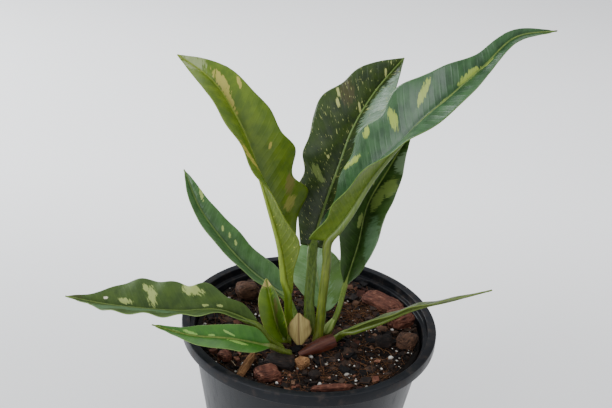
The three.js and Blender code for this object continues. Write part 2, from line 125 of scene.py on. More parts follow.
# Millimetres from the centre of the crown's top. radius: the stalk's. stalk and midrib: the route of
# the leaf. left and right: half-widths at even steps from base to tip. facing: where the upper side looks.
# fold: how far each half rises, in degrees. lobe: how far the blade's base reaches back.
# wave: height of the waves of the margin, and how many there are. cup: how far a half curls.
LEAVES = {
    "leaf_tall_left": dict(
        radius=2.8,
        stalk=[(-9, 2, 0), (-13, 4, 14), (-15, 7, 30)],
        midrib=[(-20, 10, 58), (-29, 14, 85), (-39, 19, 111), (-51, 25, 136), (-68, 32, 158), (-91, 37, 172)],
        left=[3, 7, 16, 25, 29, 25, 28.5, 21.5, 21, 16, 13, 7, 0],
        right=[3, 5, 9, 17, 29, 21, 29, 21.5, 21.5, 16, 13, 7, 0],
        facing=[(0.95, 0.2, 0.25), (0.9, -0.2, 0.35), (0.65, -0.52, 0.55), (0.25, -0.75, 0.6)],
        fold=[50, 32, 22],
        lobe=2, wave=(1.2, 5), cup=0.35,
    ),
    "leaf_tall_back": dict(
        radius=3.4,
        stalk=[(1, 9, 0), (-1, 17, 18), (-1, 24, 37), (-1, 31, 52)],
        midrib=[(4, 36, 78), (11, 42, 104), (18, 49, 128), (30, 56, 151), (46, 60, 173)],
        left=[9, 13, 17.5, 22, 20.5, 25, 24.5, 26, 26.5, 20, 17, 10, 0],
        right=[10, 13, 17.5, 22, 22, 24, 25, 25, 24, 20, 16, 9.5, 0],
        facing=[(0, -0.98, 0.15), (-0.1, -0.95, 0.25), (-0.35, -0.83, 0.4), (-0.35, -0.8, 0.45)],
        fold=[20, 25, 30],
        lobe=0.5, wave=(1.0, 5), cup=0.3,
    ),
    "leaf_tall_right": dict(
        radius=3.0,
        stalk=[(6, -2, 0), (7, 2, 29), (8, 4, 54), (8, 6, 70)],
        midrib=[(19, 6, 91), (29, 5, 113), (41, 5, 133), (55, 5, 153), (71, 5, 171), (87, 8, 188),
                (103, 12, 205), (126, 14, 210)],
        left=[13, 15, 20, 22, 26.5, 22, 24.5, 20.5, 15, 8.5, 5.5, 3, 0],
        right=[15, 15, 20.5, 22, 25, 22, 24, 20, 15, 8.5, 5.5, 3, 0],
        facing=[(-0.88, 0.24, 0.42), (-0.84, -0.15, 0.5), (-0.55, -0.62, 0.56), (-0.3, -0.8, 0.5)],
        fold=[45, 30, 25],
        lobe=0.5, wave=(0.9, 6), cup=0.35,
    ),
    "leaf_back_right": dict(
        radius=1.8,
        stalk=[(12, 7, 0), (18, 15, 13), (22, 29, 27)],
        midrib=[(28, 37, 52), (32, 42, 79), (44, 49, 104), (56, 55, 129)],
        left=[2.5, 9, 12, 15, 17, 16.5, 15.5, 15, 12.5, 10, 6.5, 3.5, 0],
        right=[2.5, 9, 12, 15, 17, 16.5, 15.5, 15, 12.5, 10, 6.5, 3.5, 0],
        facing=[(-0.05, -0.97, 0.24), (-0.15, -0.96, 0.25), (0.17, -0.97, 0.2), (-0.1, -0.96, 0.28)],
        fold=[45, 40, 30],
        lobe=1, wave=(0.7, 4), cup=0.3,
    ),
    "leaf_back_short": dict(
        radius=2.5,
        stalk=[(7, 13, 0), (8, 18, 3), (8, 25, 8)],
        midrib=[(5, 37, 18), (0, 48, 32), (-5, 56, 47)],
        left=[6, 13, 16, 18, 18, 16, 12, 7, 0],
        right=[7, 14, 17, 18, 18, 16, 12, 7, 0],
        facing=[(0.3, -0.8, 0.5), (0.12, -0.85, 0.5), (0, -0.88, 0.5), (-0.2, -0.9, 0.4)],
        fold=[30, 20, 15],
        lobe=2, wave=(0.7, 3), cup=0.3,
    ),
    "leaf_back_left": dict(
        radius=2.4,
        stalk=[(-6, 9, 0), (-11, 18, 9), (-18, 25, 16)],
        midrib=[(-41, 39, 25), (-61, 49, 40), (-79, 59, 59), (-91, 68, 82)],
        left=[3, 12, 12.5, 12, 12, 10.5, 8, 5, 0],
        right=[3, 12, 12.5, 12, 12, 10.5, 8, 5, 0],
        facing=[(0.2, -0.25, 0.94), (0.33, -0.33, 0.88), (0.42, -0.52, 0.74), (0.35, -0.7, 0.6)],
        fold=[35, 30, 25],
        lobe=2, wave=(0.5, 4), cup=0.3,
    ),
    "leaf_low_left": dict(
        radius=2.0,
        stalk=[(-15, -12, 0), (-19, -15, 4), (-25, -19, 12), (-33, -20, 22)],
        midrib=[(-55, -18, 29), (-80, -16, 25), (-105, -12, 22), (-130, -7, 20), (-155, -3, 21)],
        left=[2.5, 5, 8, 16, 15, 19, 18, 20, 19, 15, 8, 3.5, 0],
        right=[2.5, 8, 8, 17, 15, 19, 18, 20.5, 19, 15, 8, 3.5, 0],
        facing=[(0.1, -0.25, 0.96), (-0.15, -0.17, 0.97), (-0.1, -0.06, 0.99), (0, -0.15, 0.99)],
        fold=[35, 30, 20],
        lobe=0, wave=(1.2, 6), cup=0.3,
    ),
    "leaf_low_front": dict(
        radius=1.8,
        stalk=[(-10, -17, 0), (-17, -24, 7), (-24, -29, 13)],
        midrib=[(-46, -36, 21), (-70, -40, 24), (-93, -41, 30)],
        left=[2.5, 8, 9, 8, 7.3, 6, 3.6, 1.8, 0],
        right=[2.5, 8.7, 9.2, 8.2, 7.3, 6, 3.6, 1.8, 0],
        facing=[(0.5, -0.4, 0.77), (0.3, -0.6, 0.75), (0.24, -0.6, 0.76), (0.2, -0.6, 0.76)],
        fold=[30, 18, 10],
        lobe=1, wave=(0.35, 3), cup=0.2,
    ),
    "leaf_small_cupped": dict(
        radius=2.4,
        stalk=[(-12, -4, 0), (-15, -5, 2.5)],
        midrib=[(-18, -5, 7), (-21, -4, 14), (-25, -1, 27), (-29, 3, 41)],
        left=[4, 8, 10, 10, 10, 9, 7.5, 4.5, 0],
        right=[4, 8, 9.5, 9.5, 9.5, 8.5, 7, 4, 0],
        facing=[(0, -0.99, 0.1), (0.05, -0.98, 0.12), (-0.1, -0.96, 0.2), (-0.05, -0.95, 0.28)],
        fold=[50, 42, 25],
        lobe=1, wave=(0.3, 3), cup=0.2,
    ),
    "leaf_low_right": dict(
        radius=2.2,
        stalk=[(15, 1, 0), (19, 1, 3), (24, 0, 8)],
        midrib=[(43, -3, 19), (65, -2, 31), (88, 0, 38), (112, 3, 46)],
        left=[3, 8, 9.5, 9, 9, 8, 6, 3.5, 0],
        right=[3, 8, 9.5, 9, 9, 8, 6, 3.5, 0],
        facing=[(-0.45, 0.45, 0.75), (-0.4, 0.45, 0.78), (-0.3, 0.45, 0.82), (-0.3, 0.45, 0.82)],
        fold=[22, 10, 8],
        lobe=1, wave=(0.5, 4), cup=0.3,
    ),
}

SHEATHS = {
    "sheath_cream": dict(
        radius=2.2,
        stalk=[(-4, -13, 0), (-5, -13, 4)],
        midrib=[(-6, -12, 12), (-7, -9, 25)],
        left=[2.5, 5, 7.5, 8.7, 8.2, 7, 5, 2.8, 0.9],
        right=[2.5, 5, 7.5, 8.5, 8.5, 7.6, 7, 3.6, 0.9],
        facing=[(-0.1, -0.97, 0.2), (-0.1, -0.97, 0.2)],
        fold=[-30, -25, -15],
        lobe=0, wave=(0.2, 3), cup=-0.6,
    ),
    "sheath_brown": dict(
        radius=2.0,
        stalk=[(-9, -22, 0), (-5, -21, 3)],
        midrib=[(6, -15.5, 7), (17, -10.5, 10)],
        left=[2, 3, 4.2, 5, 5.8, 6.2, 6.2, 6, 5],
        right=[2, 3, 4.2, 5, 5.8, 6.2, 6.2, 6, 5],
        facing=[(0, -0.6, 0.8), (0, -0.6, 0.8)],
        fold=[-40, -40, -35],
        lobe=0, wave=(0.2, 3), cup=-0.6,
    ),
    "sheath_bud": dict(
        radius=1.5,
        stalk=[(11, 3.3, 0), (11, 3.2, 3)],
        midrib=[(12, 3.1, 7), (15, 4, 14)],
        left=[2, 3, 3.6, 3.8, 3.5, 3, 2.4, 1.8, 1.4],
        right=[2, 3, 3.6, 3.8, 3.5, 3, 2.4, 1.8, 1.4],
        facing=[(-0.2, -0.95, 0.2), (-0.2, -0.95, 0.2)],
        fold=[-45, -40, -30],
        lobe=0, wave=(0, 1), cup=-0.6,
    ),
}

# Loose bark: size in millimetres, heading and lean in degrees, finish, and how layered it is.
BARK = {
    "bark_round_nugget": dict(size=(15, 14, 10), turn=20, lean=0, finish="bark_brown", layers=0.04),
    "bark_flat_red": dict(size=(28, 17, 5), turn=-38, lean=0, finish="bark_red", layers=0.10),
    "bark_shaggy_red": dict(size=(18, 15, 9), turn=30, lean=0, finish="bark_red", layers=0.16),
    "bark_dark_right": dict(size=(10, 9, 7), turn=10, lean=0, finish="bark_dark", layers=0.08),
    "bark_wedge": dict(size=(14, 12, 8), turn=70, lean=0, finish="bark_brown", layers=0.08),
    "bark_small_nugget": dict(size=(6, 5, 4), turn=0, lean=0, finish="bark_brown", layers=0.05),
    "bark_front_dark": dict(size=(18, 12, 6), turn=-12, lean=0, finish="bark_dark", layers=0.10),
    "bark_front_tan": dict(size=(9, 8, 6), turn=55, lean=0, finish="wood_pale", layers=0.12),
    "bark_front_red": dict(size=(15, 13, 6), turn=25, lean=0, finish="bark_red", layers=0.12),
    "bark_splinter": dict(size=(20, 4.5, 4), turn=68, lean=-18, finish="wood_pale", layers=0.16),
    "bark_front_nugget": dict(size=(7, 6, 5), turn=40, lean=0, finish="bark_dark", layers=0.08),
    "bark_rim_strip": dict(size=(24, 5, 4), turn=12, lean=0, finish="bark_red", layers=0.16),
    "bark_left_chip": dict(size=(9, 7, 5), turn=-40, lean=0, finish="bark_red", layers=0.10),
}


# ---- Curves ----

def smooth_value(values, share):
    """The value at a share of a list of numbers or vectors, on a curve that passes through all."""
    spot = max(0.0, min(1.0, share)) * (len(values) - 1)
    index = min(int(spot), len(values) - 2)
    part = spot - index
    here, ahead = values[index], values[index + 1]
    before = values[index - 1] if index > 0 else here * 2 - ahead
    after = values[index + 2] if index + 2 < len(values) else ahead * 2 - here
    slope_in = (ahead - before) / 2
    slope_out = (after - here) / 2
    bend = (ahead - here) * 3 - slope_in * 2 - slope_out
    twist = (here - ahead) * 2 + slope_in + slope_out
    return here + slope_in * part + bend * part**2 + twist * part**3


def straight_value(values, share):
    """The value at a share of a list, on straight lines between its numbers."""
    spot = max(0.0, min(1.0, share)) * (len(values) - 1)
    index = min(int(spot), len(values) - 2)
    return values[index] + (values[index + 1] - values[index]) * (spot - index)


class Route:
    """A smooth curve through points, read by a share of its length."""

    PIECES = 400

    def __init__(self, points):
        self.spots = [smooth_value(points, i / self.PIECES) for i in range(self.PIECES + 1)]
        self.reached = [0.0]
        for a, b in zip(self.spots, self.spots[1:]):
            self.reached.append(self.reached[-1] + (b - a).length)
        self.length = self.reached[-1]

    def at(self, share):
        wanted = max(0.0, min(1.0, share)) * self.length
        low, high = 0, self.PIECES
        while high - low > 1:
            middle = (low + high) // 2
            if self.reached[middle] <= wanted:
                low = middle
            else:
                high = middle
        part = (wanted - self.reached[low]) / (self.reached[high] - self.reached[low])
        return self.spots[low].lerp(self.spots[high], part)

    def heading(self, share):
        step = 0.003
        return (self.at(min(1, share + step)) - self.at(max(0, share - step))).normalized()


class Growth:
    """One leaf or sheath: where its stalk, midrib and blade run, in metres."""

    def __init__(self, plan):
        self.plan = plan
        points = [CROWN + Vector(p) * MM for p in plan["stalk"] + plan["midrib"]]
        self.route = Route(points)
        joint = (len(plan["stalk"]) - 1) / (len(points) - 1)
        self.stalk_share = straight_value(self.route.reached, joint) / self.route.length
        self.blade_length = self.route.length * (1 - self.stalk_share)
        self.facing = [Vector(f) for f in plan["facing"]]
        self.back = -self.route.heading(self.stalk_share)

    def blade_share(self, share):
        return max(0.0, (share - self.stalk_share) / (1 - self.stalk_share))

    def station(self, share):
        """Centre, heading, upper side and right-hand side at a share of the whole leaf."""
        centre = self.route.at(share)
        heading = self.route.heading(share)
        face = smooth_value(self.facing, self.blade_share(share))
        face = (face - heading * face.dot(heading)).normalized()
        return centre, heading, face, heading.cross(face)


# ---- Material maths ----

class Value:
    """A socket in a finish. Sums and products on it add Math nodes."""

    def __init__(self, finish, socket):
        self.finish = finish
        self.socket = socket

    def maths(self, operation, *others):
        values = {i: v for i, v in enumerate((self, *others))}
        return self.finish.node("ShaderNodeMath", {"operation": operation}, values)

    def __add__(self, other):
        return self.maths("ADD", other)

    __radd__ = __add__

    def __sub__(self, other):
        return self.maths("SUBTRACT", other)

    def __rsub__(self, other):
        return (self * -1) + other

    def __mul__(self, other):
        return self.maths("MULTIPLY", other)

    __rmul__ = __mul__

    def __truediv__(self, other):
        return self.maths("DIVIDE", other)

    def __pow__(self, other):
        return self.maths("POWER", other)

    def __abs__(self):
        return self.maths("ABSOLUTE")

    def wave(self):
        return self.maths("COSINE")

    def larger(self, other):
        return self.maths("MAXIMUM", other)

    def ramp(self, low, high, bottom=0.0, top=1.0):
        """A soft step from bottom at low to top at high."""
        return self.finish.node(
            "ShaderNodeMapRange",
            {"interpolation_type": "SMOOTHSTEP"},
            {"Value": self, "From Min": low, "From Max": high, "To Min": bottom, "To Max": top},
        )


class Finish:
    """A material being made round one Principled shader."""

    def __init__(self, name, **constants):
        self.material = bpy.data.materials.new(name)
        self.material.use_nodes = True
        self.tree = self.material.node_tree
        self.shader = self.tree.nodes["Principled BSDF"]
        self.set(**constants)

    def feed(self, socket, value):
        if isinstance(value, Value):
            self.tree.links.new(value.socket, socket)
        elif socket.type == "RGBA" and len(value) == 3:
            socket.default_value = (*value, 1)
        else:
            socket.default_value = value

    def node(self, kind, settings=None, values=None, output=0):
        made = self.tree.nodes.new(kind)
        for name, setting in (settings or {}).items():
            setattr(made, name, setting)
        for name, value in (values or {}).items():
            self.feed(made.inputs[name], value)
        return Value(self, made.outputs[output])

    def set(self, **sockets):
        """Sets or links the shader's sockets: base_color is Base Color, and so on."""
        for name, value in sockets.items():
            words = " ".join(w.upper() if w == "ior" else w.capitalize() for w in name.split("_"))
            self.feed(self.shader.inputs[words], value)

    def point(self):
        return self.node("ShaderNodeTexCoord", output=3)

    def uv(self, name):
        return self.node("ShaderNodeUVMap", {"uv_map": name})

    def attribute(self, name):
        return self.node("ShaderNodeAttribute", {"attribute_name": name}, output=2)

    def parts(self, vector):
        split = self.node("ShaderNodeSeparateXYZ", values={0: vector})
        outputs = split.socket.node.outputs
        return [Value(self, outputs[i]) for i in range(3)]

    def vector(self, x, y, z):
        return self.node("ShaderNodeCombineXYZ", values={0: x, 1: y, 2: z})

    def stretch(self, vector, x, y, z):
        return self.node("ShaderNodeVectorMath", {"operation": "MULTIPLY"}, {0: vector, 1: (x, y, z)})

    def noise(self, vector, scale, detail=3.0, roughness=0.55):
        values = {"Vector": vector, "Scale": scale, "Detail": detail, "Roughness": roughness}
        return self.node("ShaderNodeTexNoise", values=values)

    def mix(self, first, second, share):
        """From the first colour at 0 to the second at 1."""
        return self.node("ShaderNodeMix", {"data_type": "RGBA"}, {0: share, 6: first, 7: second}, output=2)

    def bump(self, height, distance, strength=1.0):
        values = {"Height": height, "Distance": distance, "Strength": strength}
        self.set(normal=self.node("ShaderNodeBump", values=values))


# ---- Finishes ----

def patch_mask(across, along, ragged, middle, off, long, wide, lean):
    """Above 0 inside a ragged oval. Its place and half-sizes are in millimetres, its lean in degrees."""
    down = along - middle / SPAN_UNIT
    side = across - off / SPAN_UNIT
    turn = math.radians(lean)
    run = (down * math.cos(turn) + side * math.sin(turn)) / (long / SPAN_UNIT)
    rise = (side * math.cos(turn) - down * math.sin(turn)) / (wide / SPAN_UNIT)
    return 1 - (run * run + rise * rise + ragged)


def leaf_upper(name, look):
    """Waxy upper side: lateral veins, flecks along them, patches, a pale midrib and margin. Some patches are
    painted sheen and painted shade.
    """
    finish = Finish(name, specular_ior_level=look["specular"], coat_weight=look["coat"], coat_roughness=0.3)
    across, along, _ = finish.parts(finish.uv("span"))
    share, _, _ = finish.parts(finish.uv("share"))
    out = abs(across)
    edge = abs(share * 2 - 1)
    place = finish.vector(across, along, 0)
    drift = finish.noise(place, 6, 2) - 0.5
    vein = along - out * look["slant"] + drift * 0.02
    flow = finish.vector(vein, out, across * 0.35)
    lines = (vein * (2 * math.pi / VEIN_SPACING)).wave() * 0.5 + 0.5
    ridge = lines ** 8

    colour = finish.mix(look["green"], look["deep"], finish.noise(place, 11, 4).ramp(0.35, 0.65))
    grain = finish.noise(finish.stretch(flow, 60, 12, 12), 1, 3)
    colour = finish.mix(colour, look["light"], grain.ramp(0.45, 0.8) * look["streaks"])
    colour = finish.mix(colour, look["light"], ridge * look["ridges"])
    colour = finish.mix(colour, look["rim"], edge.ramp(0.55, 1.0) * 0.3)

    ragged = (finish.noise(finish.stretch(flow, 75, 24, 24), 1, 4, 0.65) - 0.5) * look["ragged"]
    # Some patch tints are painted sheen and painted shade on the leaves that list them.
    for patches, tint in look["patches"]:
        masks = [patch_mask(across, along, ragged, *patch) for patch in patches]
        mask = functools.reduce(Value.larger, masks)
        colour = finish.mix(colour, tint, mask.ramp(0.0, 0.5) * PATCH_SHARE)

    fleck = finish.noise(finish.stretch(flow, 130, 42, 42), 1, 1.5, 0.5)
    sparse = finish.noise(place, 16, 2)
    level = look["fleck_level"]
    flecks = (fleck + (sparse - 0.5) * 0.25).ramp(level, level + 0.05)
    colour = finish.mix(colour, look["fleck"], flecks * look["fleck_share"])

    rib = out.ramp(0.003, 0.009, 1.0, 0.0) * along.ramp(0, look["length"], 1.0, 0.5)
    colour = finish.mix(colour, look["midrib"], rib * look["midrib_share"])
    colour = finish.mix(colour, look["margin"], edge.ramp(0.97, 0.995) * 0.45)
    finish.set(base_color=colour)
    finish.set(roughness=finish.noise(place, 30, 3) * 0.12 + look["rough"])
    finish.bump(ridge * 0.4 + grain * 0.15 + rib * -0.5, 0.0004, 0.4)
    return finish.material


def leaf_under(name, look):
    """Matt, paler lower side with raised veins."""
    finish = Finish(name, specular_ior_level=0.25)
    across, along, _ = finish.parts(finish.uv("span"))
    share, _, _ = finish.parts(finish.uv("share"))
    out = abs(across)
    place = finish.vector(across, along, 0)
    vein = along - out * look["slant"]
    flow = finish.vector(vein, out, across * 0.35)
    ridge = ((vein * (2 * math.pi / VEIN_SPACING)).wave() * 0.5 + 0.5) ** 6
    colour = finish.mix(look["under"], look["under_deep"], finish.noise(place, 14, 4).ramp(0.3, 0.7))
    grain = finish.noise(finish.stretch(flow, 60, 12, 12), 1, 3)
    colour = finish.mix(colour, look["under_light"], grain.ramp(0.5, 0.8) * 0.2)
    colour = finish.mix(colour, look["under_light"], ridge * 0.15)
    fleck = finish.noise(finish.stretch(flow, 70, 26, 26), 1, 1.5, 0.5)
    colour = finish.mix(colour, look["fleck"], fleck.ramp(0.68, 0.74) * look["under_flecks"])
    edge = abs(share * 2 - 1)
    colour = finish.mix(colour, look["margin"], edge.ramp(0.96, 0.995) * 0.5)
    finish.set(base_color=colour, roughness=finish.noise(place, 30, 3) * 0.15 + 0.48)
    finish.bump(ridge * 0.6 + grain * 0.3, 0.0004, 0.5)
    return finish.material


def stalk_finish(name, look):
    """A ribbed stalk, browner at its foot, that pales into the midrib."""
    finish = Finish(name, specular_ior_level=0.35)
    point = finish.point()
    along = finish.attribute("along")
    streak = finish.noise(finish.stretch(point, 900, 900, 40), 1, 3)
    colour = finish.mix(look["stalk"], look["stalk_deep"], streak.ramp(0.35, 0.7))
    blotch = finish.noise(point, 90, 3)
    colour = finish.mix(colour, look["stalk_light"], blotch.ramp(0.52, 0.72) * 0.5)
    foot = along.ramp(0.0, 0.25, 1.0, 0.0)
    colour = finish.mix(colour, (0.10, 0.07, 0.02), foot * 0.3)
    colour = finish.mix(colour, look["midrib"], along.ramp(0.9, 1.3) * 0.25)
    finish.set(base_color=colour, roughness=streak * 0.15 + 0.32)
    finish.bump(streak, 0.0003, 0.5)
    return finish.material


def sheath_finish(name, base, streak_colour, edge_colour, rough):
    """A thin dried or young sheath with streaks along its length."""
    finish = Finish(name, specular_ior_level=0.25)
    across, along, _ = finish.parts(finish.uv("span"))
    share, _, _ = finish.parts(finish.uv("share"))
    lines = finish.noise(finish.vector(across * 90, along * 7, 0), 1, 4)
    colour = finish.mix(base, streak_colour, lines.ramp(0.42, 0.68) * 0.8)
    colour = finish.mix(colour, edge_colour, abs(share * 2 - 1).ramp(0.8, 1.0) * 0.6)
    colour = finish.mix(colour, edge_colour, (abs(across) + lines * 0.01).ramp(0.006, 0.014, 1.0, 0.0) * 0.8)
    finish.set(base_color=colour, roughness=lines * 0.2 + rough)
    finish.bump(lines, 0.0004, 0.8)
    return finish.material


def pot_finish():
    """Dark moulded plastic with faint scuffs, and dust that settles on its ledges."""
    finish = Finish("moulded black plastic", specular_ior_level=0.17)
    point = finish.point()
    _, _, height = finish.parts(point)
    cloud = finish.noise(point, 22, 4)
    scuff = finish.noise(finish.stretch(point, 1, 1, 0.12), 260, 4, 0.65)
    colour = finish.mix((0.0035, 0.0042, 0.006), (0.008, 0.0095, 0.0125), cloud.ramp(0.3, 0.75))
    dust = finish.noise(point, 140, 5, 0.7).ramp(0.48, 0.75) * height.ramp(0.12, RIM_TOP)
    colour = finish.mix(colour, (0.07, 0.05, 0.037), dust * 0.45)
    colour = finish.mix(colour, (0.03, 0.034, 0.038), scuff.ramp(0.62, 0.78) * 0.3)
    finish.set(base_color=colour, roughness=cloud * 0.14 + dust * 0.25 + scuff.ramp(0.5, 0.8) * 0.12 + 0.28)
    finish.bump(finish.noise(point, 1400, 2) + cloud * 0.4, 0.0002, 0.25)
    return finish.material


def earthy_finish(name, dark, middle, light):
    """Rough organic stuff in three tones, each piece a little lighter or darker by its tone."""
    finish = Finish(name, specular_ior_level=0.2)
    point = finish.point()
    tone = finish.attribute("tone")
    broad = finish.noise(point, 105, 4)
    fine = finish.noise(point, 300, 5, 0.65)
    colour = finish.mix(dark, middle, (broad * 0.6 + fine * 0.5 + (tone - 0.5) * 0.8).ramp(0.3, 0.75))
    colour = finish.mix(colour, light, (fine + (tone - 0.5) * 0.5).ramp(0.55, 0.8) * 0.5)
    finish.set(base_color=colour, roughness=fine * 0.2 + 0.7)
    finish.bump(fine + broad * 0.6, 0.0006, 0.9)
    return finish.material


# ---- Making pieces ----

def add_piece(name, bm, slot, node, materials, smooth=True):
    """Turns a bmesh into a piece that stands for its CAD node."""
    mesh = bpy.data.meshes.new(name)
    bm.to_mesh(mesh)
    bm.free()
    for material in materials:
        mesh.materials.append(material)
    mesh.polygons.foreach_set("use_smooth", [smooth] * len(mesh.polygons))
    piece = bpy.data.objects.new(name, mesh)
    bpy.context.collection.objects.link(piece)
    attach(piece, BODY)
    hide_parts(node)
    return piece


def tube(bm, sides, steps, place):
    """A closed tube: place gives where a point of it goes, from its share and its x and y."""
    before = len(bm.verts)
    made = bmesh.ops.create_cone(bm, cap_ends=True, segments=sides, radius1=1, radius2=1, depth=1)
    around = {edge for vert in made["verts"] for edge in vert.link_edges}
    lengthwise = {edge for edge in around if abs(edge.verts[0].co.z - edge.verts[1].co.z) > 0.5}
    bmesh.ops.subdivide_edges(bm, edges=list(lengthwise), cuts=steps - 1)
    bm.verts.ensure_lookup_table()
    for vert in bm.verts[before:]:
        vert.co = place(vert.co.z + 0.5, vert.co.x, vert.co.y)


def spin_profile(bm, profile, steps):
    """Turns an outline of radius and height once round the pot's axis."""
    verts = [bm.verts.new((radius, 0, height)) for radius, height in profile]
    edges = [bm.edges.new(pair) for pair in zip(verts, verts[1:])]
    bmesh.ops.spin(bm, geom=verts + edges, cent=(0, 0, 0), axis=(0, 0, 1), angle=2 * math.pi,
                   steps=steps, use_merge=True)


def blade_piece(name, node, growth, slot, materials):
    """The blade: a flat grid laid along the midrib, folded, cupped and waved."""
    plan = growth.plan
    bm = bmesh.new()
    bmesh.ops.create_grid(bm, x_segments=COLUMNS, y_segments=ROWS, size=1)
    span = bm.loops.layers.uv.new("span")
    fraction = bm.loops.layers.uv.new("share")
    rows = {}
    maps = {}
    wave_height, wave_count = plan["wave"]
    for vert in bm.verts:
        across = vert.co.x
        blade = (vert.co.y + 1) / 2
        key = round(blade * ROWS)
        if key not in rows:
            share = growth.stalk_share + (1 - growth.stalk_share) * blade
            rows[key] = growth.station(share)
        centre, heading, face, right = rows[key]
        widths = plan["left"] if across < 0 else plan["right"]
        half = max(smooth_value(widths, blade), TIP_RADIUS) * MM
        out = abs(across)
        fold = math.radians(straight_value(plan["fold"], blade))
        slope = fold * (1 + plan["cup"] * (1 - out))
        if blade < 0.85:
            swell = math.sin(math.pi * min(1, blade * 1.1 + 0.05)) ** 0.5
        else:
            swell = max(0, 1 - blade) * 4
        phase = 0.9 if across < 0 else 2.3
        wave = wave_height * MM * out**2.2 * swell * math.sin(2 * math.pi * wave_count * blade + phase)
        vein = growth.blade_length * blade - half * out * 0.7
        quilt = QUILT_HEIGHT * math.cos(2 * math.pi * vein / QUILT_PITCH) * out * (1 - out) * 4
        groove = -GROOVE_DEPTH * math.exp(-((half * out / GROOVE_WIDTH) ** 2))
        rise = half * out * math.sin(slope) + wave + quilt + groove
        reach = half * out * math.cos(slope)
        back = plan["lobe"] * MM * math.sin(math.pi * out**0.8) * max(0, 1 - blade / LOBE_SHARE) ** 2
        vert.co = centre + right * math.copysign(reach, across) + face * rise + growth.back * back
        distance = growth.blade_length * blade - back
        maps[vert.index] = (
            (math.copysign(half * out, across) * SPAN_SCALE, distance * SPAN_SCALE),
            (across / 2 + 0.5, blade),
        )
    for face in bm.faces:
        for loop in face.loops:
            loop[span].uv, loop[fraction].uv = maps[loop.vert.index]
    piece = add_piece(name, bm, slot, node, materials)
    wall = piece.modifiers.new("thickness", "SOLIDIFY")
    wall.thickness = LEAF_THICKNESS
    wall.offset = -1
    wall.material_offset = len(materials) - 1
    wall.material_offset_rim = len(materials) - 1


def stalk_piece(leaf, growth, slot, material):
    """The stalk, which runs on under the blade as its midrib."""
    plan = growth.plan
    bm = bmesh.new()
    layer = bm.verts.layers.float.new("along")
    reached = {}

    def place(share, x, y):
        centre, _, face, right = growth.station(share)
        blade = growth.blade_share(share)
        radius = (plan["radius"] + (TIP_RADIUS - plan["radius"]) * math.sqrt(blade)) * MM
        flare = 1 + 0.3 * max(0, 1 - share / 0.12) ** 2
        sunk = radius * 0.85 * min(1, blade / 0.05)
        dent = 0.35 * math.exp(-((x / 0.35) ** 2)) * (1 if y > 0 else 0) * (1 - min(1, blade / 0.05))
        spot = centre + right * x * radius * flare + face * (y * (1 - dent) * radius * flare - sunk)
        if share < 1e-4:
            spot.z = CROWN.z - STALK_ROOTED
        reached[tuple(spot)] = share / growth.stalk_share
        return spot

    tube(bm, STALK_SIDES, STALK_STEPS, place)
    for vert in bm.verts:
        vert[layer] = reached.get(tuple(vert.co), 0)
    add_piece(leaf + "_stalk", bm, slot, leaf, [material])


# ---- The pot ----

def base_wall(z):
    """Outside radius of the tapered wall at a height."""
    top_radius = RIM_RADIUS - POT_WALL - LIP_GAP - COLLAR_WIDTH
    top_height = RIM_TOP - LEDGE_DEPTH - POT_WALL
    return BASE_RADIUS + (top_radius - BASE_RADIUS) * z / top_height


def ring_edges(bm, z):
    """The open edges that lie flat at a height."""
    return [e for e in bm.edges if e.is_boundary and all(abs(v.co.z - z) < 1e-6 for v in e.verts)]


def make_pot():
    """The pot: one wall turned round, with a rolled lip, an inner ledge and holes in its base."""
    lip_inside = RIM_RADIUS - POT_WALL
    collar_outside = lip_inside - LIP_GAP
    collar_inside = collar_outside - POT_WALL
    top_height = RIM_TOP - LEDGE_DEPTH - POT_WALL
    floor_radius = base_wall(FLOOR_THICKNESS) - POT_WALL
    profile = [
        (BASE_RADIUS - BASE_CHAMFER, 0),
        (base_wall(BASE_CHAMFER), BASE_CHAMFER),
        (base_wall(top_height), top_height),
        (collar_outside, top_height),
        (collar_outside, RIM_TOP - POT_WALL),
        (lip_inside, RIM_TOP - POT_WALL),
        (lip_inside, RIM_TOP - LIP_DROP),
        (RIM_RADIUS, RIM_TOP - LIP_DROP),
        (RIM_RADIUS, RIM_TOP),
        (collar_inside, RIM_TOP),
        (collar_inside, RIM_TOP - LEDGE_DEPTH),
        (base_wall(RIM_TOP - LEDGE_DEPTH) - POT_WALL, RIM_TOP - LEDGE_DEPTH),
        (floor_radius, FLOOR_THICKNESS),
    ]
    bm = bmesh.new()
    spin_profile(bm, profile, POT_STEPS)
    ring = floor_radius - DRAIN_EDGE - DRAIN_RADIUS
    for height in (0, FLOOR_THICKNESS):
        outline = ring_edges(bm, height)
        for i in range(DRAIN_COUNT):
            angle = (i + 0.5) * 2 * math.pi / DRAIN_COUNT
            place = Matrix.Translation((ring * math.cos(angle), ring * math.sin(angle), height))
            hole = bmesh.ops.create_circle(bm, segments=DRAIN_STEPS, radius=DRAIN_RADIUS, matrix=place)
            outline += list({e for v in hole["verts"] for e in v.link_edges})
        bmesh.ops.triangle_fill(bm, use_beauty=True, edges=outline)
    for i in range(DRAIN_COUNT):
        angle = (i + 0.5) * 2 * math.pi / DRAIN_COUNT
        centre = Vector((ring * math.cos(angle), ring * math.sin(angle), 0))
        loops = [e for e in bm.edges if e.is_boundary
                 and all((Vector((v.co.x, v.co.y, 0)) - centre).length < DRAIN_RADIUS * 1.1 for v in e.verts)]
        bmesh.ops.bridge_loops(bm, edges=loops)
    bmesh.ops.recalc_face_normals(bm, faces=bm.faces)
    sharp = [e for e in bm.edges if e.is_manifold and e.calc_face_angle(0) > math.radians(35)
             and e.verts[0].co.z > FLOOR_THICKNESS * 2]
    bmesh.ops.bevel(bm, geom=sharp, offset=RIM_ROUND, segments=3, profile=0.5, affect="EDGES", material=-1,
                    clamp_overlap=True)
    bmesh.ops.recalc_face_normals(bm, faces=bm.faces)
    add_piece("nursery_pot_shell", bm, "pot_plastic", "nursery_pot", [pot_finish()])


# ---- The mix ----

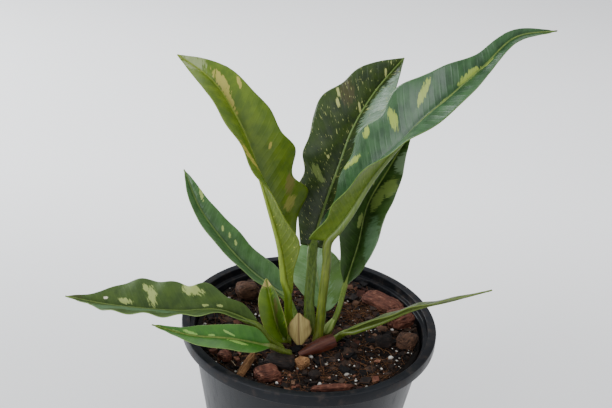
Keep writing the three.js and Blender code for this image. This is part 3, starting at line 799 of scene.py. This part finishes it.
HILL = 1.6 * MM
MIX_EDGE_DROP = 2 * MM
MIX_RINGS = 70
MIX_STEPS = 220
PERLITE_COUNT = 330
PERLITE_LIFT = 0.9 * MM
PERLITE_SIZES = (0.35, 0.4, 0.45, 0.5, 0.6, 0.8, 1.1)  # radii in millimetres
FIBRE_COUNT = 1100

# The larger perlite grains: x, y and radius, in millimetres.
PERLITE = [
    (2.7, -30.7, 1.7), (53, -26, 1.9), (25.4, -46.7, 1.7), (39.6, -38.6, 1.2),
    (25, -60, 1.8), (9, -57.9, 1.5), (-27.9, -60, 1.2), (-16.4, -61, 1.2),
    (12, -38, 0.9), (20, -33, 0.9), (31, -52, 0.9), (47, -37, 0.9),
]

# Where coir fibres lie thickest, in millimetres.
FIBRE_NESTS = [(28, 27, 0), (38, 16, 0), (34, 22, 0), (8, -42, 0), (46, -50, 0)]

# Single strands on the mix: name, finish, radius, the places each runs through and its lift above
# the mix, in millimetres.
STRANDS = [
    ("root_thread_left", "thread", 0.25, [(-60, -21), (-56, -27), (-51, -35), (-44, -45), (-40, -54)], 1.2),
    ("root_thread_near", "thread", 0.25, [(-33, -13), (-31, -18), (-28, -25), (-26, -34)], 1.5),
    ("twig_left", "coir", 0.55, [(-31, -35), (-28, -34), (-25, -32), (-22, -31)], 1.6),
    ("twig_back", "wood_pale", 0.9, [(-33, 23), (-31, 19), (-28, 15), (-26, 11)], 1.4),
]


def mix_height(x, y):
    """Height of the mix's uneven surface at a place."""
    spot = Vector((x, y, 0))
    hills = noise.noise(spot * 42) * HILL
    lumps = noise.noise(spot * 130) * HILL * 0.5
    crumbs = noise.noise(spot * 320) * HILL * 0.3
    return MIX_TOP + (hills + lumps + crumbs)


def mix_wall(z):
    """Radius of the mix at a height, just clear of the pot."""
    return base_wall(z) - POT_WALL - GAP


def make_mix(materials):
    """The solid bed of mix, with its uneven top."""
    bm = bmesh.new()
    shoulder = MIX_TOP - MIX_EDGE_DROP
    profile = [(mix_wall(MIX_BASE), MIX_BASE), (mix_wall(shoulder), shoulder)]
    top_radius = mix_wall(MIX_TOP) - 1 * MM
    profile += [(top_radius * (1 - i / MIX_RINGS), MIX_TOP) for i in range(MIX_RINGS)]
    spin_profile(bm, profile, MIX_STEPS)
    bmesh.ops.holes_fill(bm, edges=[e for e in bm.edges if e.is_boundary], sides=0)
    bmesh.ops.recalc_face_normals(bm, faces=bm.faces)
    for vert in bm.verts:
        if abs(vert.co.z - MIX_TOP) < 1e-6:
            vert.co.z = mix_height(vert.co.x, vert.co.y)
    layer = bm.verts.layers.float.new("tone")
    for vert in bm.verts:
        vert[layer] = 0.4
    add_piece("potting_mix_bed", bm, "potting_mix", "potting_mix", [materials["potting_mix"]])


def copies_of(template, bm, layer, places, tones, shaper):
    """Adds a copy of a template mesh for each place, shaped by shaper(copy number, point)."""
    for number, (matrix, tone) in enumerate(zip(places, tones)):
        first = len(bm.verts)
        bm.from_mesh(template)
        bm.verts.ensure_lookup_table()
        for vert in bm.verts[first:]:
            vert.co = matrix @ shaper(number, vert.co)
            vert[layer] = tone


def template_mesh(make):
    """A mesh to be copied many times."""
    bm = bmesh.new()
    make(bm)
    mesh = bpy.data.meshes.new("template")
    bm.to_mesh(mesh)
    bm.free()
    return mesh


def lumpy(seed, amount):
    """A shaper that dents each copy in its own way."""
    def shaper(number, point):
        return point * (1 + amount * noise.noise(point * 1.7 + Vector((number * 3.1, seed, 0))))
    return shaper


def scattered(rng, count, reach, sizes):
    """Random places on the mix, each with a turn and three sizes."""
    places = []
    for _ in range(count):
        radius = reach * math.sqrt(rng.random())
        bearing = rng.uniform(0, 2 * math.pi)
        x, y = radius * math.cos(bearing), radius * math.sin(bearing)
        size = sizes(rng)
        scale = Matrix.Diagonal((size, size * rng.uniform(0.55, 0.95), size * rng.uniform(0.3, 0.7), 1))
        turn = Matrix.Rotation(rng.uniform(0, 6.28), 4, "Z") @ Matrix.Rotation(rng.uniform(-0.5, 0.5), 4, "X")
        spot = Matrix.Translation((x, y, mix_height(x, y) + size * 0.15))
        places.append(spot @ turn @ scale)
    return places


# Crumbs of the mix: shape, colour, finish, how many, and the smallest and largest radius.
CRUMBS = [
    ("grains", "dark", "potting_mix", 2600, 0.5, 1.7),
    ("grains", "brown", "bark_brown", 420, 0.4, 1.4),
    ("grains", "red", "bark_red", 320, 0.4, 1.5),
    ("flakes", "dark", "bark_dark", 520, 1.0, 3.6),
    ("flakes", "brown", "bark_brown", 110, 1.0, 3.0),
    ("flakes", "red", "bark_red", 90, 1.0, 3.2),
]


def make_crumbs(materials):
    """Grains, flakes and perlite, scattered over the mix."""
    rng = random.Random(11)
    grain = template_mesh(lambda bm: bmesh.ops.create_icosphere(bm, subdivisions=1, radius=1))
    chunk = template_mesh(lambda bm: bmesh.ops.create_icosphere(bm, subdivisions=2, radius=1))
    flake = template_mesh(lambda bm: bmesh.ops.create_cube(bm, size=1.6))
    reach = MIX_RADIUS - 2.5 * MM
    shapes = {"grains": (grain, 0.5), "flakes": (flake, 0.8)}
    for seed, (kind, colour, slot, count, small, large) in enumerate(CRUMBS):
        name = f"mix_{kind}_{colour}"
        template, amount = shapes[kind]
        bm = bmesh.new()
        layer = bm.verts.layers.float.new("tone")
        places = scattered(rng, count, reach, lambda r: r.uniform(small, large) * MM)
        tones = [rng.random() for _ in places]
        copies_of(template, bm, layer, places, tones, lumpy(seed, amount))
        add_piece(name, bm, slot, "potting_mix", [materials[slot]], smooth=False)
    bm = bmesh.new()
    layer = bm.verts.layers.float.new("tone")
    lifted = Matrix.Translation((0, 0, PERLITE_LIFT))
    grains = scattered(rng, PERLITE_COUNT, reach, lambda r: r.choice(PERLITE_SIZES) * MM)
    places = [lifted @ place for place in grains]
    for x, y, size in PERLITE:
        spot = Vector((x, y, 0)) * MM
        spot.z = mix_height(spot.x, spot.y) + size * 0.5 * MM
        scale = Matrix.Diagonal((size * MM, size * 0.8 * MM, size * 0.8 * MM, 1))
        places.append(Matrix.Translation(spot) @ scale)
    tones = [rng.random() for _ in places]
    copies_of(chunk, bm, layer, places, tones, lumpy(9, 0.4))
    add_piece("perlite_grains", bm, "potting_mix", "potting_mix", [materials["perlite"]])
    for template in (grain, chunk, flake):
        bpy.data.meshes.remove(template)


def make_fibres(materials):
    """Coir: thin bent hairs that lie on the mix, some of them looped up from it."""
    rng = random.Random(23)

    def strand(bm):
        tube(bm, 3, 9, lambda share, x, y: Vector((x, y, share)))

    template = template_mesh(strand)
    bm = bmesh.new()
    layer = bm.verts.layers.float.new("tone")
    for number in range(FIBRE_COUNT):
        length = rng.uniform(6, 26) * MM
        radius = rng.uniform(0.05, 0.13) * MM
        far = MIX_RADIUS - 4 * MM
        spread = far * math.sqrt(rng.random())
        bearing = rng.uniform(0, 2 * math.pi)
        start = Vector((spread * math.cos(bearing), spread * math.sin(bearing), 0))
        if number % 4 == 0:
            nest = Vector(FIBRE_NESTS[number % len(FIBRE_NESTS)])
            start = nest * MM + start * 0.16
        heading = rng.uniform(0, 2 * math.pi)
        bend = rng.uniform(-2.2, 2.2)
        hop = rng.uniform(0.3, 3.0) * MM if rng.random() < 0.35 else 0.4 * MM
        tone = rng.random()
        first = len(bm.verts)
        bm.from_mesh(template)
        bm.verts.ensure_lookup_table()
        for vert in bm.verts[first:]:
            share = vert.co.z
            angle = heading + bend * share
            middle = heading + bend * share / 2
            spot = start + Vector((math.cos(middle), math.sin(middle), 0)) * length * share
            if spot.xy.length > far:
                spot.xy = spot.xy.normalized() * far
            side = Vector((-math.sin(angle), math.cos(angle), 0))
            spot.z = mix_height(spot.x, spot.y) + 0.5 * MM + hop * math.sin(math.pi * share)
            vert.co = spot + side * vert.co.x * radius + UP * vert.co.y * radius
            vert[layer] = tone
    bpy.data.meshes.remove(template)
    add_piece("coir_fibres", bm, "potting_mix", "potting_mix", [materials["coir"]])


def make_strands(materials):
    """Root threads and twigs, each laid along its own route on the mix."""
    for name, finish, radius, places, lift in STRANDS:
        spots = [Vector((x, y, 0)) * MM for x, y in places]

        def place(share, x, y):
            spot = smooth_value(spots, share)
            ahead = smooth_value(spots, share + 0.01) - smooth_value(spots, share - 0.01)
            side = Vector((-ahead.y, ahead.x, 0)).normalized()
            thick = radius * MM * (1 - 0.5 * share)
            top = mix_height(spot.x, spot.y) + (lift + 0.5 * math.sin(share * 11)) * MM
            return Vector((spot.x, spot.y, top)) + side * x * thick + UP * y * thick

        bm = bmesh.new()
        layer = bm.verts.layers.float.new("tone")
        tube(bm, 6, 40, place)
        for vert in bm.verts:
            vert[layer] = 0.6
        add_piece(name, bm, "potting_mix", "potting_mix", [materials[finish]])


BARK_SQUARENESS = 0.62  # 1 keeps a nugget round, and less makes it blockier


def make_bark(materials):
    """Loose nuggets and slabs, each a ball pushed out into a block with broken layers."""
    for number, (name, bark) in enumerate(BARK.items()):
        low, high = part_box(name)
        centre = (low + high) / 2
        half = Vector(bark["size"]) * MM / 2
        lean = Matrix.Rotation(math.radians(bark["lean"]), 3, "Y")
        turn = Matrix.Rotation(math.radians(bark["turn"]), 3, "Z") @ lean
        bm = bmesh.new()
        bmesh.ops.create_icosphere(bm, subdivisions=5, radius=1)
        layer = bm.verts.layers.float.new("tone")
        offset = Vector((number * 7.3, 0, 0))
        for vert in bm.verts:
            unit = vert.co.copy()
            boxy = Vector([math.copysign(abs(c) ** BARK_SQUARENESS, c) for c in unit])
            broad = noise.noise(boxy * 1.3 + offset)
            strata = 0.5 - 2 * abs(noise.noise(Vector((boxy.x * 1.5, boxy.y * 4, boxy.z * 5)) + offset * 2))
            fine = noise.noise(boxy * 7 + offset)
            grow = 1 + 0.16 * broad + bark["layers"] * strata + 0.07 * fine
            shaped = Vector((boxy.x * half.x, boxy.y * half.y, boxy.z * half.z)) * grow
            vert.co = centre + turn @ shaped
            vert[layer] = 0.5 + 0.3 * strata
        add_piece(name + "_piece", bm, bark["finish"], name, [materials[bark["finish"]]])


STEM_LENGTH = 34 * MM
ROOT_COUNT = 5
ROOT_START = 18 * MM
ROOT_REACH = 27 * MM
ROOT_DROP = 60 * MM


def make_stem(materials):
    """The short stem with its leaf scars, and roots that run down into the mix."""
    bm = bmesh.new()
    layer = bm.verts.layers.float.new("tone")
    foot = Vector((0, CROWN_Y, CROWN_TOP - STEM_LENGTH))
    root_top = Vector((0, CROWN_Y, CROWN_TOP - ROOT_START))

    def stock(share, x, y):
        scar = 1 + 0.06 * math.cos(share * 40)
        radius = (8 + 6 * share**3) * MM * scar * (1 - 0.5 * max(0, share - 0.93) / 0.07)
        wobble = 1 + 0.12 * noise.noise(Vector((x * 2, y * 2, share * 5)))
        return foot + Vector((x * radius * wobble, y * radius * wobble, share * (STEM_LENGTH - 1.5 * MM)))

    tube(bm, 48, 60, stock)
    for i in range(ROOT_COUNT):
        bearing = i * 2 * math.pi / ROOT_COUNT + 0.4

        def root(share, x, y, bearing=bearing):
            turn = bearing + 0.5 * share
            out = ROOT_REACH * (1 - (1 - share) ** 2) * (1 + 0.08 * math.sin(share * 9))
            radius = (2.4 - 1.3 * share) * MM
            axis = Vector((math.cos(turn), math.sin(turn), 0))
            side = Vector((-axis.y, axis.x, 0))
            spot = root_top + axis * out - UP * (ROOT_DROP * share**1.3)
            return spot + side * x * radius + (axis * 0.5 + UP * 0.8) * y * radius

        tube(bm, 10, 24, root)
    for vert in bm.verts:
        vert[layer] = 0.5
    bmesh.ops.recalc_face_normals(bm, faces=bm.faces)
    add_piece("stem_and_roots", bm, "stem", "stem_with_roots", [materials["stem"]])


# ---- Looks of each leaf ----

# Colours, and shares from 0 to 1. length: the blade's, in span units. slant: how far side veins
# sweep forward. patches: groups of ovals in one tint, each with its middle along and across the
# blade, its half-length and half-width in millimetres and its lean in degrees.
# Some patch tints are painted sheen and painted shade, marked where they stand.
PLAIN_LOOK = dict(
    specular=0.38, coat=0.04, rough=0.38, slant=0.7, streaks=0.2, ridges=0.08, midrib_share=0.75,
    under_flecks=0.25, ragged=3.6, patches=[],
)

LOOKS = {
    "leaf_tall_left": dict(
        slot="leaf_yellow_green", length=1.35,
        green=(0.105, 0.165, 0.004), deep=(0.06, 0.11, 0.003), light=(0.19, 0.25, 0.012),
        rim=(0.07, 0.13, 0.004), margin=(0.16, 0.20, 0.02), midrib=(0.36, 0.38, 0.06),
        fleck=(0.30, 0.32, 0.05), fleck_level=0.83, fleck_share=0.5, streaks=0.12, ridges=0.05,
        under=(0.085, 0.125, 0.008), under_deep=(0.06, 0.09, 0.005), under_light=(0.17, 0.20, 0.025),
        under_flecks=0.9,
        stalk=(0.13, 0.215, 0.008), stalk_deep=(0.08, 0.14, 0.006), stalk_light=(0.24, 0.30, 0.03),
        patches=[
            ([(140, 3.6, 9, 3.0, 8), (130, 1.6, 11, 1.8, 5), (134, 11.7, 4.5, 1.2, 20)], (0.40, 0.35, 0.07)),
            ([(95, -17, 14, 3.4, -21), (94, 12, 2.6, 1.2, 35)], (0.40, 0.34, 0.06)),
            ([(56, 13.5, 6, 4, 45)], (0.25, 0.24, 0.05)),
            ([(67, 17, 8, 3.5, 30), (104, 24, 6, 2, 10)], (0.15, 0.13, 0.03)),
            # Painted highlight: a pale grey-green sheen near the tip.
            ([(160, 2, 9, 6, 0)], (0.24, 0.29, 0.12)),
        ],
    ),
    "leaf_tall_back": dict(
        slot="leaf_dark_green", length=1.35,
        green=(0.024, 0.045, 0.003), deep=(0.010, 0.023, 0.002), light=(0.05, 0.075, 0.008),
        rim=(0.04, 0.085, 0.008), margin=(0.08, 0.12, 0.02), midrib=(0.17, 0.24, 0.08),
        fleck=(0.40, 0.42, 0.14), fleck_level=0.66, fleck_share=0.75, streaks=0.15, ridges=0.06, slant=1.0,
        rough=0.27, coat=0.12,
        under=(0.07, 0.11, 0.015), under_deep=(0.04, 0.07, 0.01), under_light=(0.13, 0.18, 0.04),
        stalk=(0.095, 0.155, 0.015), stalk_deep=(0.05, 0.09, 0.008), stalk_light=(0.16, 0.22, 0.03),
        patches=[
            ([(48, -13, 7.5, 2.8, -49), (44, -8.5, 4, 1.6, -70)], (0.15, 0.20, 0.05)),
            ([(95, -19, 3.5, 1.1, -50), (90, -16, 3.2, 1.2, -50), (120.6, -2.4, 3, 0.9, -40),
              (59, -8.8, 1.6, 0.8, -50), (94, -2.5, 4, 0.8, -40), (97, 5, 4, 1.0, 40)], (0.40, 0.42, 0.14)),
            ([(98, -14, 9, 5, -40)], (0.05, 0.045, 0.012)),
            # Painted sheen: a pale blue-green strip along the right half.
            ([(100, 11, 36, 8.5, 0)], (0.13, 0.20, 0.13)),
        ],
    ),
    "leaf_tall_right": dict(
        slot="leaf_blue_green", length=1.92,
        green=(0.024, 0.075, 0.020), deep=(0.010, 0.040, 0.010), light=(0.08, 0.16, 0.07),
        rim=(0.03, 0.09, 0.025), margin=(0.12, 0.20, 0.05), midrib=(0.14, 0.24, 0.09),
        fleck=(0.36, 0.44, 0.10), fleck_level=0.78, fleck_share=0.8, streaks=0.25, ridges=0.1, rough=0.34,
        under=(0.105, 0.16, 0.012), under_deep=(0.065, 0.115, 0.008), under_light=(0.18, 0.24, 0.035),
        stalk=(0.105, 0.14, 0.010), stalk_deep=(0.06, 0.085, 0.008), stalk_light=(0.20, 0.22, 0.03),
        patches=[
            ([(85, -13.5, 8, 3.2, -70), (108.5, -11.8, 9, 2.4, -30), (48, -18, 8, 2.4, 20),
              (67, -21, 4, 2.5, -40)], (0.26, 0.33, 0.04)),
            ([(134.5, -1.4, 8, 2.6, 0), (114, 0.5, 7, 1.4, 0), (146, 1, 5, 1.2, 0)], (0.28, 0.36, 0.05)),
        ],
    ),
    "leaf_back_right": dict(
        slot="leaf_dark_green", length=1.13,
        green=(0.024, 0.06, 0.008), deep=(0.014, 0.036, 0.004), light=(0.07, 0.13, 0.03),
        rim=(0.05, 0.11, 0.02), margin=(0.14, 0.21, 0.05), midrib=(0.13, 0.20, 0.05),
        fleck=(0.34, 0.42, 0.12), fleck_level=0.80, fleck_share=0.7, streaks=0.25, rough=0.30, ragged=2.2,
        under=(0.09, 0.15, 0.025), under_deep=(0.06, 0.11, 0.018), under_light=(0.19, 0.26, 0.06),
        stalk=(0.12, 0.185, 0.014), stalk_deep=(0.08, 0.13, 0.01), stalk_light=(0.22, 0.28, 0.05),
        patches=[
            ([(72, 8, 8, 5, 0), (62, 5, 11, 4, 0)], (0.15, 0.22, 0.045)),
            # The next two patches are painted sheen: pale blue-green on the right half, near the tip and near
            # the base.
            ([(90, 7, 9, 6, 0)], (0.15, 0.22, 0.12)),
            ([(34, 12, 18, 7, -10)], (0.07, 0.14, 0.06)),
            ([(70, -7, 3, 0.8, -40), (62, -10, 3, 0.8, -40), (44, -3, 6, 2.4, 0)], (0.20, 0.27, 0.07)),
        ],
    ),
    "leaf_back_short": dict(
        slot="leaf_blue_green", length=0.55,
        # Painted sheen: the pale blue-green of these upper-side colours; the patch gives the right half its
        # own mid-green.
        green=(0.15, 0.27, 0.11), deep=(0.10, 0.20, 0.06), light=(0.34, 0.44, 0.28),
        rim=(0.12, 0.22, 0.06), margin=(0.26, 0.34, 0.16), midrib=(0.34, 0.42, 0.26),
        fleck=(0.40, 0.48, 0.26), fleck_level=0.76, fleck_share=0.7,
        under=(0.16, 0.24, 0.08), under_deep=(0.11, 0.17, 0.05), under_light=(0.28, 0.34, 0.16),
        stalk=(0.14, 0.22, 0.03), stalk_deep=(0.09, 0.14, 0.02), stalk_light=(0.24, 0.30, 0.08),
        patches=[([(16, 16, 30, 11, 0)], (0.075, 0.155, 0.018))],
    ),
    "leaf_back_left": dict(
        slot="leaf_mid_green", length=1.11,
        green=(0.05, 0.125, 0.03), deep=(0.03, 0.085, 0.018), light=(0.13, 0.24, 0.11),
        rim=(0.06, 0.14, 0.03), margin=(0.16, 0.24, 0.08), midrib=(0.20, 0.30, 0.13),
        fleck=(0.38, 0.46, 0.14), fleck_level=0.77, fleck_share=0.7, streaks=0.3, rough=0.34,
        midrib_share=0.5,
        under=(0.09, 0.15, 0.03), under_deep=(0.06, 0.10, 0.02), under_light=(0.18, 0.25, 0.07),
        stalk=(0.12, 0.20, 0.025), stalk_deep=(0.07, 0.12, 0.015), stalk_light=(0.22, 0.30, 0.07),
        patches=[
            ([(63, 5.1, 2.4, 0.9, 30), (56, 5.4, 2.4, 1.0, 30), (49.6, 5.4, 2.2, 0.9, 30),
              (92, 5, 6, 1.4, 10)], (0.36, 0.44, 0.12)),
        ],
    ),
    "leaf_low_left": dict(
        slot="leaf_mid_green", length=1.27,
        green=(0.035, 0.065, 0.006), deep=(0.02, 0.042, 0.004), light=(0.08, 0.13, 0.03),
        rim=(0.05, 0.09, 0.02), margin=(0.18, 0.26, 0.08), midrib=(0.07, 0.12, 0.02),
        fleck=(0.40, 0.46, 0.15), fleck_level=0.76, fleck_share=0.8, streaks=0.12, rough=0.5, specular=0.2,
        coat=0,
        under=(0.11, 0.17, 0.03), under_deep=(0.07, 0.12, 0.02), under_light=(0.22, 0.29, 0.07),
        stalk=(0.10, 0.155, 0.015), stalk_deep=(0.06, 0.09, 0.01), stalk_light=(0.19, 0.24, 0.04),
        patches=[
            ([(86, 3.6, 6, 2, 10), (69, 8.5, 8, 3.4, 65), (75, 14, 4, 2, 40), (42, 13, 9, 4, 20),
              (33, 2.5, 2.2, 1, 0), (24, 2.6, 2.2, 1, 0)], (0.26, 0.31, 0.09)),
            ([(99.6, 3.9, 1.6, 1.1, 0)], (0.6, 0.58, 0.42)),
            ([(124, 2, 11, 9, 0)], (0.035, 0.045, 0.008)),
            # Painted sheen: a lighter blue-green strip along the near half.
            ([(78, -9, 34, 5, 0)], (0.06, 0.12, 0.05)),
        ],
    ),
    "leaf_low_front": dict(
        slot="leaf_mid_green", length=0.73,
        green=(0.03, 0.115, 0.005), deep=(0.018, 0.08, 0.004), light=(0.09, 0.20, 0.025),
        rim=(0.05, 0.14, 0.012), margin=(0.22, 0.32, 0.10), midrib=(0.06, 0.15, 0.012),
        fleck=(0.42, 0.52, 0.16), fleck_level=0.78, fleck_share=0.8, streaks=0.12, ridges=0.06, rough=0.36,
        midrib_share=0.5,
        under=(0.12, 0.20, 0.03), under_deep=(0.08, 0.15, 0.02), under_light=(0.22, 0.30, 0.07),
        stalk=(0.10, 0.14, 0.015), stalk_deep=(0.06, 0.075, 0.01), stalk_light=(0.18, 0.21, 0.04),
        patches=[
            ([(49.7, 1.4, 5.5, 1.1, 8), (20.4, -2.2, 7, 1.2, 10), (36.4, 1.1, 2.4, 0.8, 0),
              (26, 3, 4, 0.8, 20), (58, 0, 4, 0.9, 0)], (0.20, 0.34, 0.07)),
        ],
    ),
    "leaf_small_cupped": dict(
        slot="leaf_yellow_green", length=0.44,
        green=(0.10, 0.175, 0.004), deep=(0.06, 0.12, 0.003), light=(0.19, 0.26, 0.01),
        rim=(0.12, 0.19, 0.006), margin=(0.30, 0.26, 0.06), midrib=(0.08, 0.14, 0.008),
        fleck=(0.40, 0.40, 0.07), fleck_level=0.76, fleck_share=0.7, streaks=0.12, ridges=0.04, rough=0.38,
        midrib_share=0.5,
        under=(0.13, 0.19, 0.015), under_deep=(0.08, 0.13, 0.01), under_light=(0.24, 0.30, 0.04),
        stalk=(0.12, 0.165, 0.015), stalk_deep=(0.07, 0.09, 0.01), stalk_light=(0.22, 0.25, 0.04),
        patches=[
            # Painted shade: the dark green of the right half, which curls forward.
            ([(22, 5.5, 18, 5.2, 0), (8, 4, 10, 6, 0)], (0.028, 0.062, 0.004)),
            ([(24, 4, 6, 2, 10), (15, 1, 5, 2, 0)], (0.07, 0.06, 0.012)),
            ([(41, 0, 5, 6, 0)], (0.42, 0.33, 0.12)),
        ],
    ),
    "leaf_low_right": dict(
        slot="leaf_mid_green", length=0.99,
        green=(0.06, 0.095, 0.008), deep=(0.04, 0.06, 0.006), light=(0.13, 0.18, 0.03),
        rim=(0.08, 0.12, 0.012), margin=(0.18, 0.24, 0.05), midrib=(0.12, 0.17, 0.03),
        fleck=(0.30, 0.36, 0.1), fleck_level=0.80, fleck_share=0.5,
        under=(0.075, 0.115, 0.010), under_deep=(0.05, 0.07, 0.008), under_light=(0.14, 0.19, 0.03),
        stalk=(0.09, 0.135, 0.010), stalk_deep=(0.06, 0.08, 0.008), stalk_light=(0.16, 0.20, 0.03),
    ),
}


def make_leaves():
    """Each leaf as a blade with two sides, and a stalk that runs on as its midrib."""
    for name, plan in LEAVES.items():
        look = {**PLAIN_LOOK, **LOOKS[name]}
        growth = Growth(plan)
        upper = leaf_upper(name + " upper side", look)
        under = leaf_under(name + " lower side", look)
        blade_piece(name + "_blade", name, growth, look["slot"], [upper, under])
        stalk_piece(name, growth, look["slot"], stalk_finish(name + " stalk", look))


def make_sheaths(materials):
    """The papery wraps at the crown, shaped as short folded blades."""
    for name, plan in SHEATHS.items():
        growth = Growth(plan)
        slot = "sheath_green" if name == "sheath_bud" else name
        blade_piece(name + "_wrap", name, growth, slot, [materials[slot]])


# Three tones, from the hollows to the raised grain.
EARTHS = {
    "potting_mix": [(0.003, 0.002, 0.0015), (0.014, 0.008, 0.005), (0.045, 0.023, 0.012)],
    "bark_brown": [(0.02, 0.010, 0.006), (0.085, 0.04, 0.022), (0.20, 0.115, 0.07)],
    "bark_red": [(0.02, 0.006, 0.004), (0.115, 0.040, 0.024), (0.36, 0.19, 0.12)],
    "bark_dark": [(0.003, 0.0025, 0.0025), (0.016, 0.010, 0.008), (0.09, 0.05, 0.03)],
    "wood_pale": [(0.07, 0.03, 0.012), (0.22, 0.11, 0.045), (0.42, 0.26, 0.12)],
    "thread": [(0.25, 0.17, 0.09), (0.50, 0.40, 0.26), (0.66, 0.58, 0.42)],
    "stem": [(0.05, 0.03, 0.015), (0.15, 0.10, 0.045), (0.28, 0.21, 0.10)],
    "perlite": [(0.25, 0.23, 0.20), (0.48, 0.46, 0.42), (0.68, 0.67, 0.63)],
    "coir": [(0.045, 0.018, 0.008), (0.16, 0.068, 0.026), (0.34, 0.18, 0.08)],
}

# Base, streaks and edge, and how rough the sheath is.
WRAPS = {
    "sheath_cream": [(0.28, 0.22, 0.08), (0.19, 0.135, 0.045), (0.09, 0.05, 0.018), 0.55],
    "sheath_brown": [(0.055, 0.012, 0.005), (0.018, 0.004, 0.003), (0.075, 0.022, 0.009), 0.32],
    "sheath_green": [(0.24, 0.33, 0.08), (0.34, 0.42, 0.16), (0.14, 0.22, 0.04), 0.4],
}


def make_materials():
    earths = {name: earthy_finish(name, *tones) for name, tones in EARTHS.items()}
    wraps = {name: sheath_finish(name, *looks) for name, looks in WRAPS.items()}
    return {**earths, **wraps}


# ---- Floor and light ----

def make_stage():
    """A wide pale floor, with painted shade that darkens it towards the viewer and far away, and a faint
    painted glow.
    """
    bm = bmesh.new()
    bmesh.ops.create_grid(bm, x_segments=1, y_segments=1, size=40)
    mesh = bpy.data.meshes.new("floor")
    bm.to_mesh(mesh)
    bm.free()
    floor = bpy.data.objects.new("floor", mesh)
    bpy.context.collection.objects.link(floor)
    finish = Finish("pale floor", roughness=0.8, specular_ior_level=0.1)
    x, y, _ = finish.parts(finish.point())
    # Painted shade: the floor darkens with distance from the pot and towards the viewer.
    far = (x * x + y * y) ** 0.5
    front = y.ramp(0.0, 0.55, 1, 0)
    colour = finish.mix((0.95, 0.95, 0.95), (0.6, 0.6, 0.6), far.ramp(0.8, 3.0))
    finish.set(base_color=finish.mix(colour, (0.58, 0.58, 0.58), front))
    # Painted glow: the floor gives off a faint white light of its own.
    finish.set(emission_color=(1, 1, 1, 1), emission_strength=0.25)
    mesh.materials.append(finish.material)


def area_light(name, place, aim, size, power, colour=(1, 1, 1)):
    data = bpy.data.lights.new(name, "AREA")
    data.shape = "RECTANGLE"
    data.size, data.size_y = size
    data.energy = power
    data.color = colour
    light = bpy.data.objects.new(name, data)
    bpy.context.collection.objects.link(light)
    light.location = place
    light.rotation_euler = (Vector(aim) - Vector(place)).to_track_quat("-Z", "Y").to_euler()


def make_light():
    """Two soft windows, a wide ceiling light, a weak fill and an even sky."""
    middle = (0, 0, 0.18)
    area_light("window behind", (-1.3, 0.78, 0.65), middle, (1.0, 1.0), 27, (0.93, 0.97, 1))
    area_light("window in front", (-1.05, -1.15, 0.55), middle, (0.9, 0.9), 22, (0.93, 0.97, 1))
    area_light("ceiling", (0.1, 0.2, 2.0), middle, (2.0, 2.0), 32)
    area_light("front fill", (0.9, -1.5, 1.0), middle, (1.2, 1.0), 5)
    world = bpy.data.worlds.new("soft studio")
    bpy.context.scene.world = world
    world.use_nodes = True
    world.node_tree.nodes["Background"].inputs["Color"].default_value = (0.9, 0.93, 1, 1)
    world.node_tree.nodes["Background"].inputs["Strength"].default_value = 0.6


set_camera()
make_stage()
make_light()
made_materials = make_materials()
make_pot()
make_mix(made_materials)
make_crumbs(made_materials)
make_fibres(made_materials)
make_strands(made_materials)
make_bark(made_materials)
make_stem(made_materials)
make_leaves()
make_sheaths(made_materials)
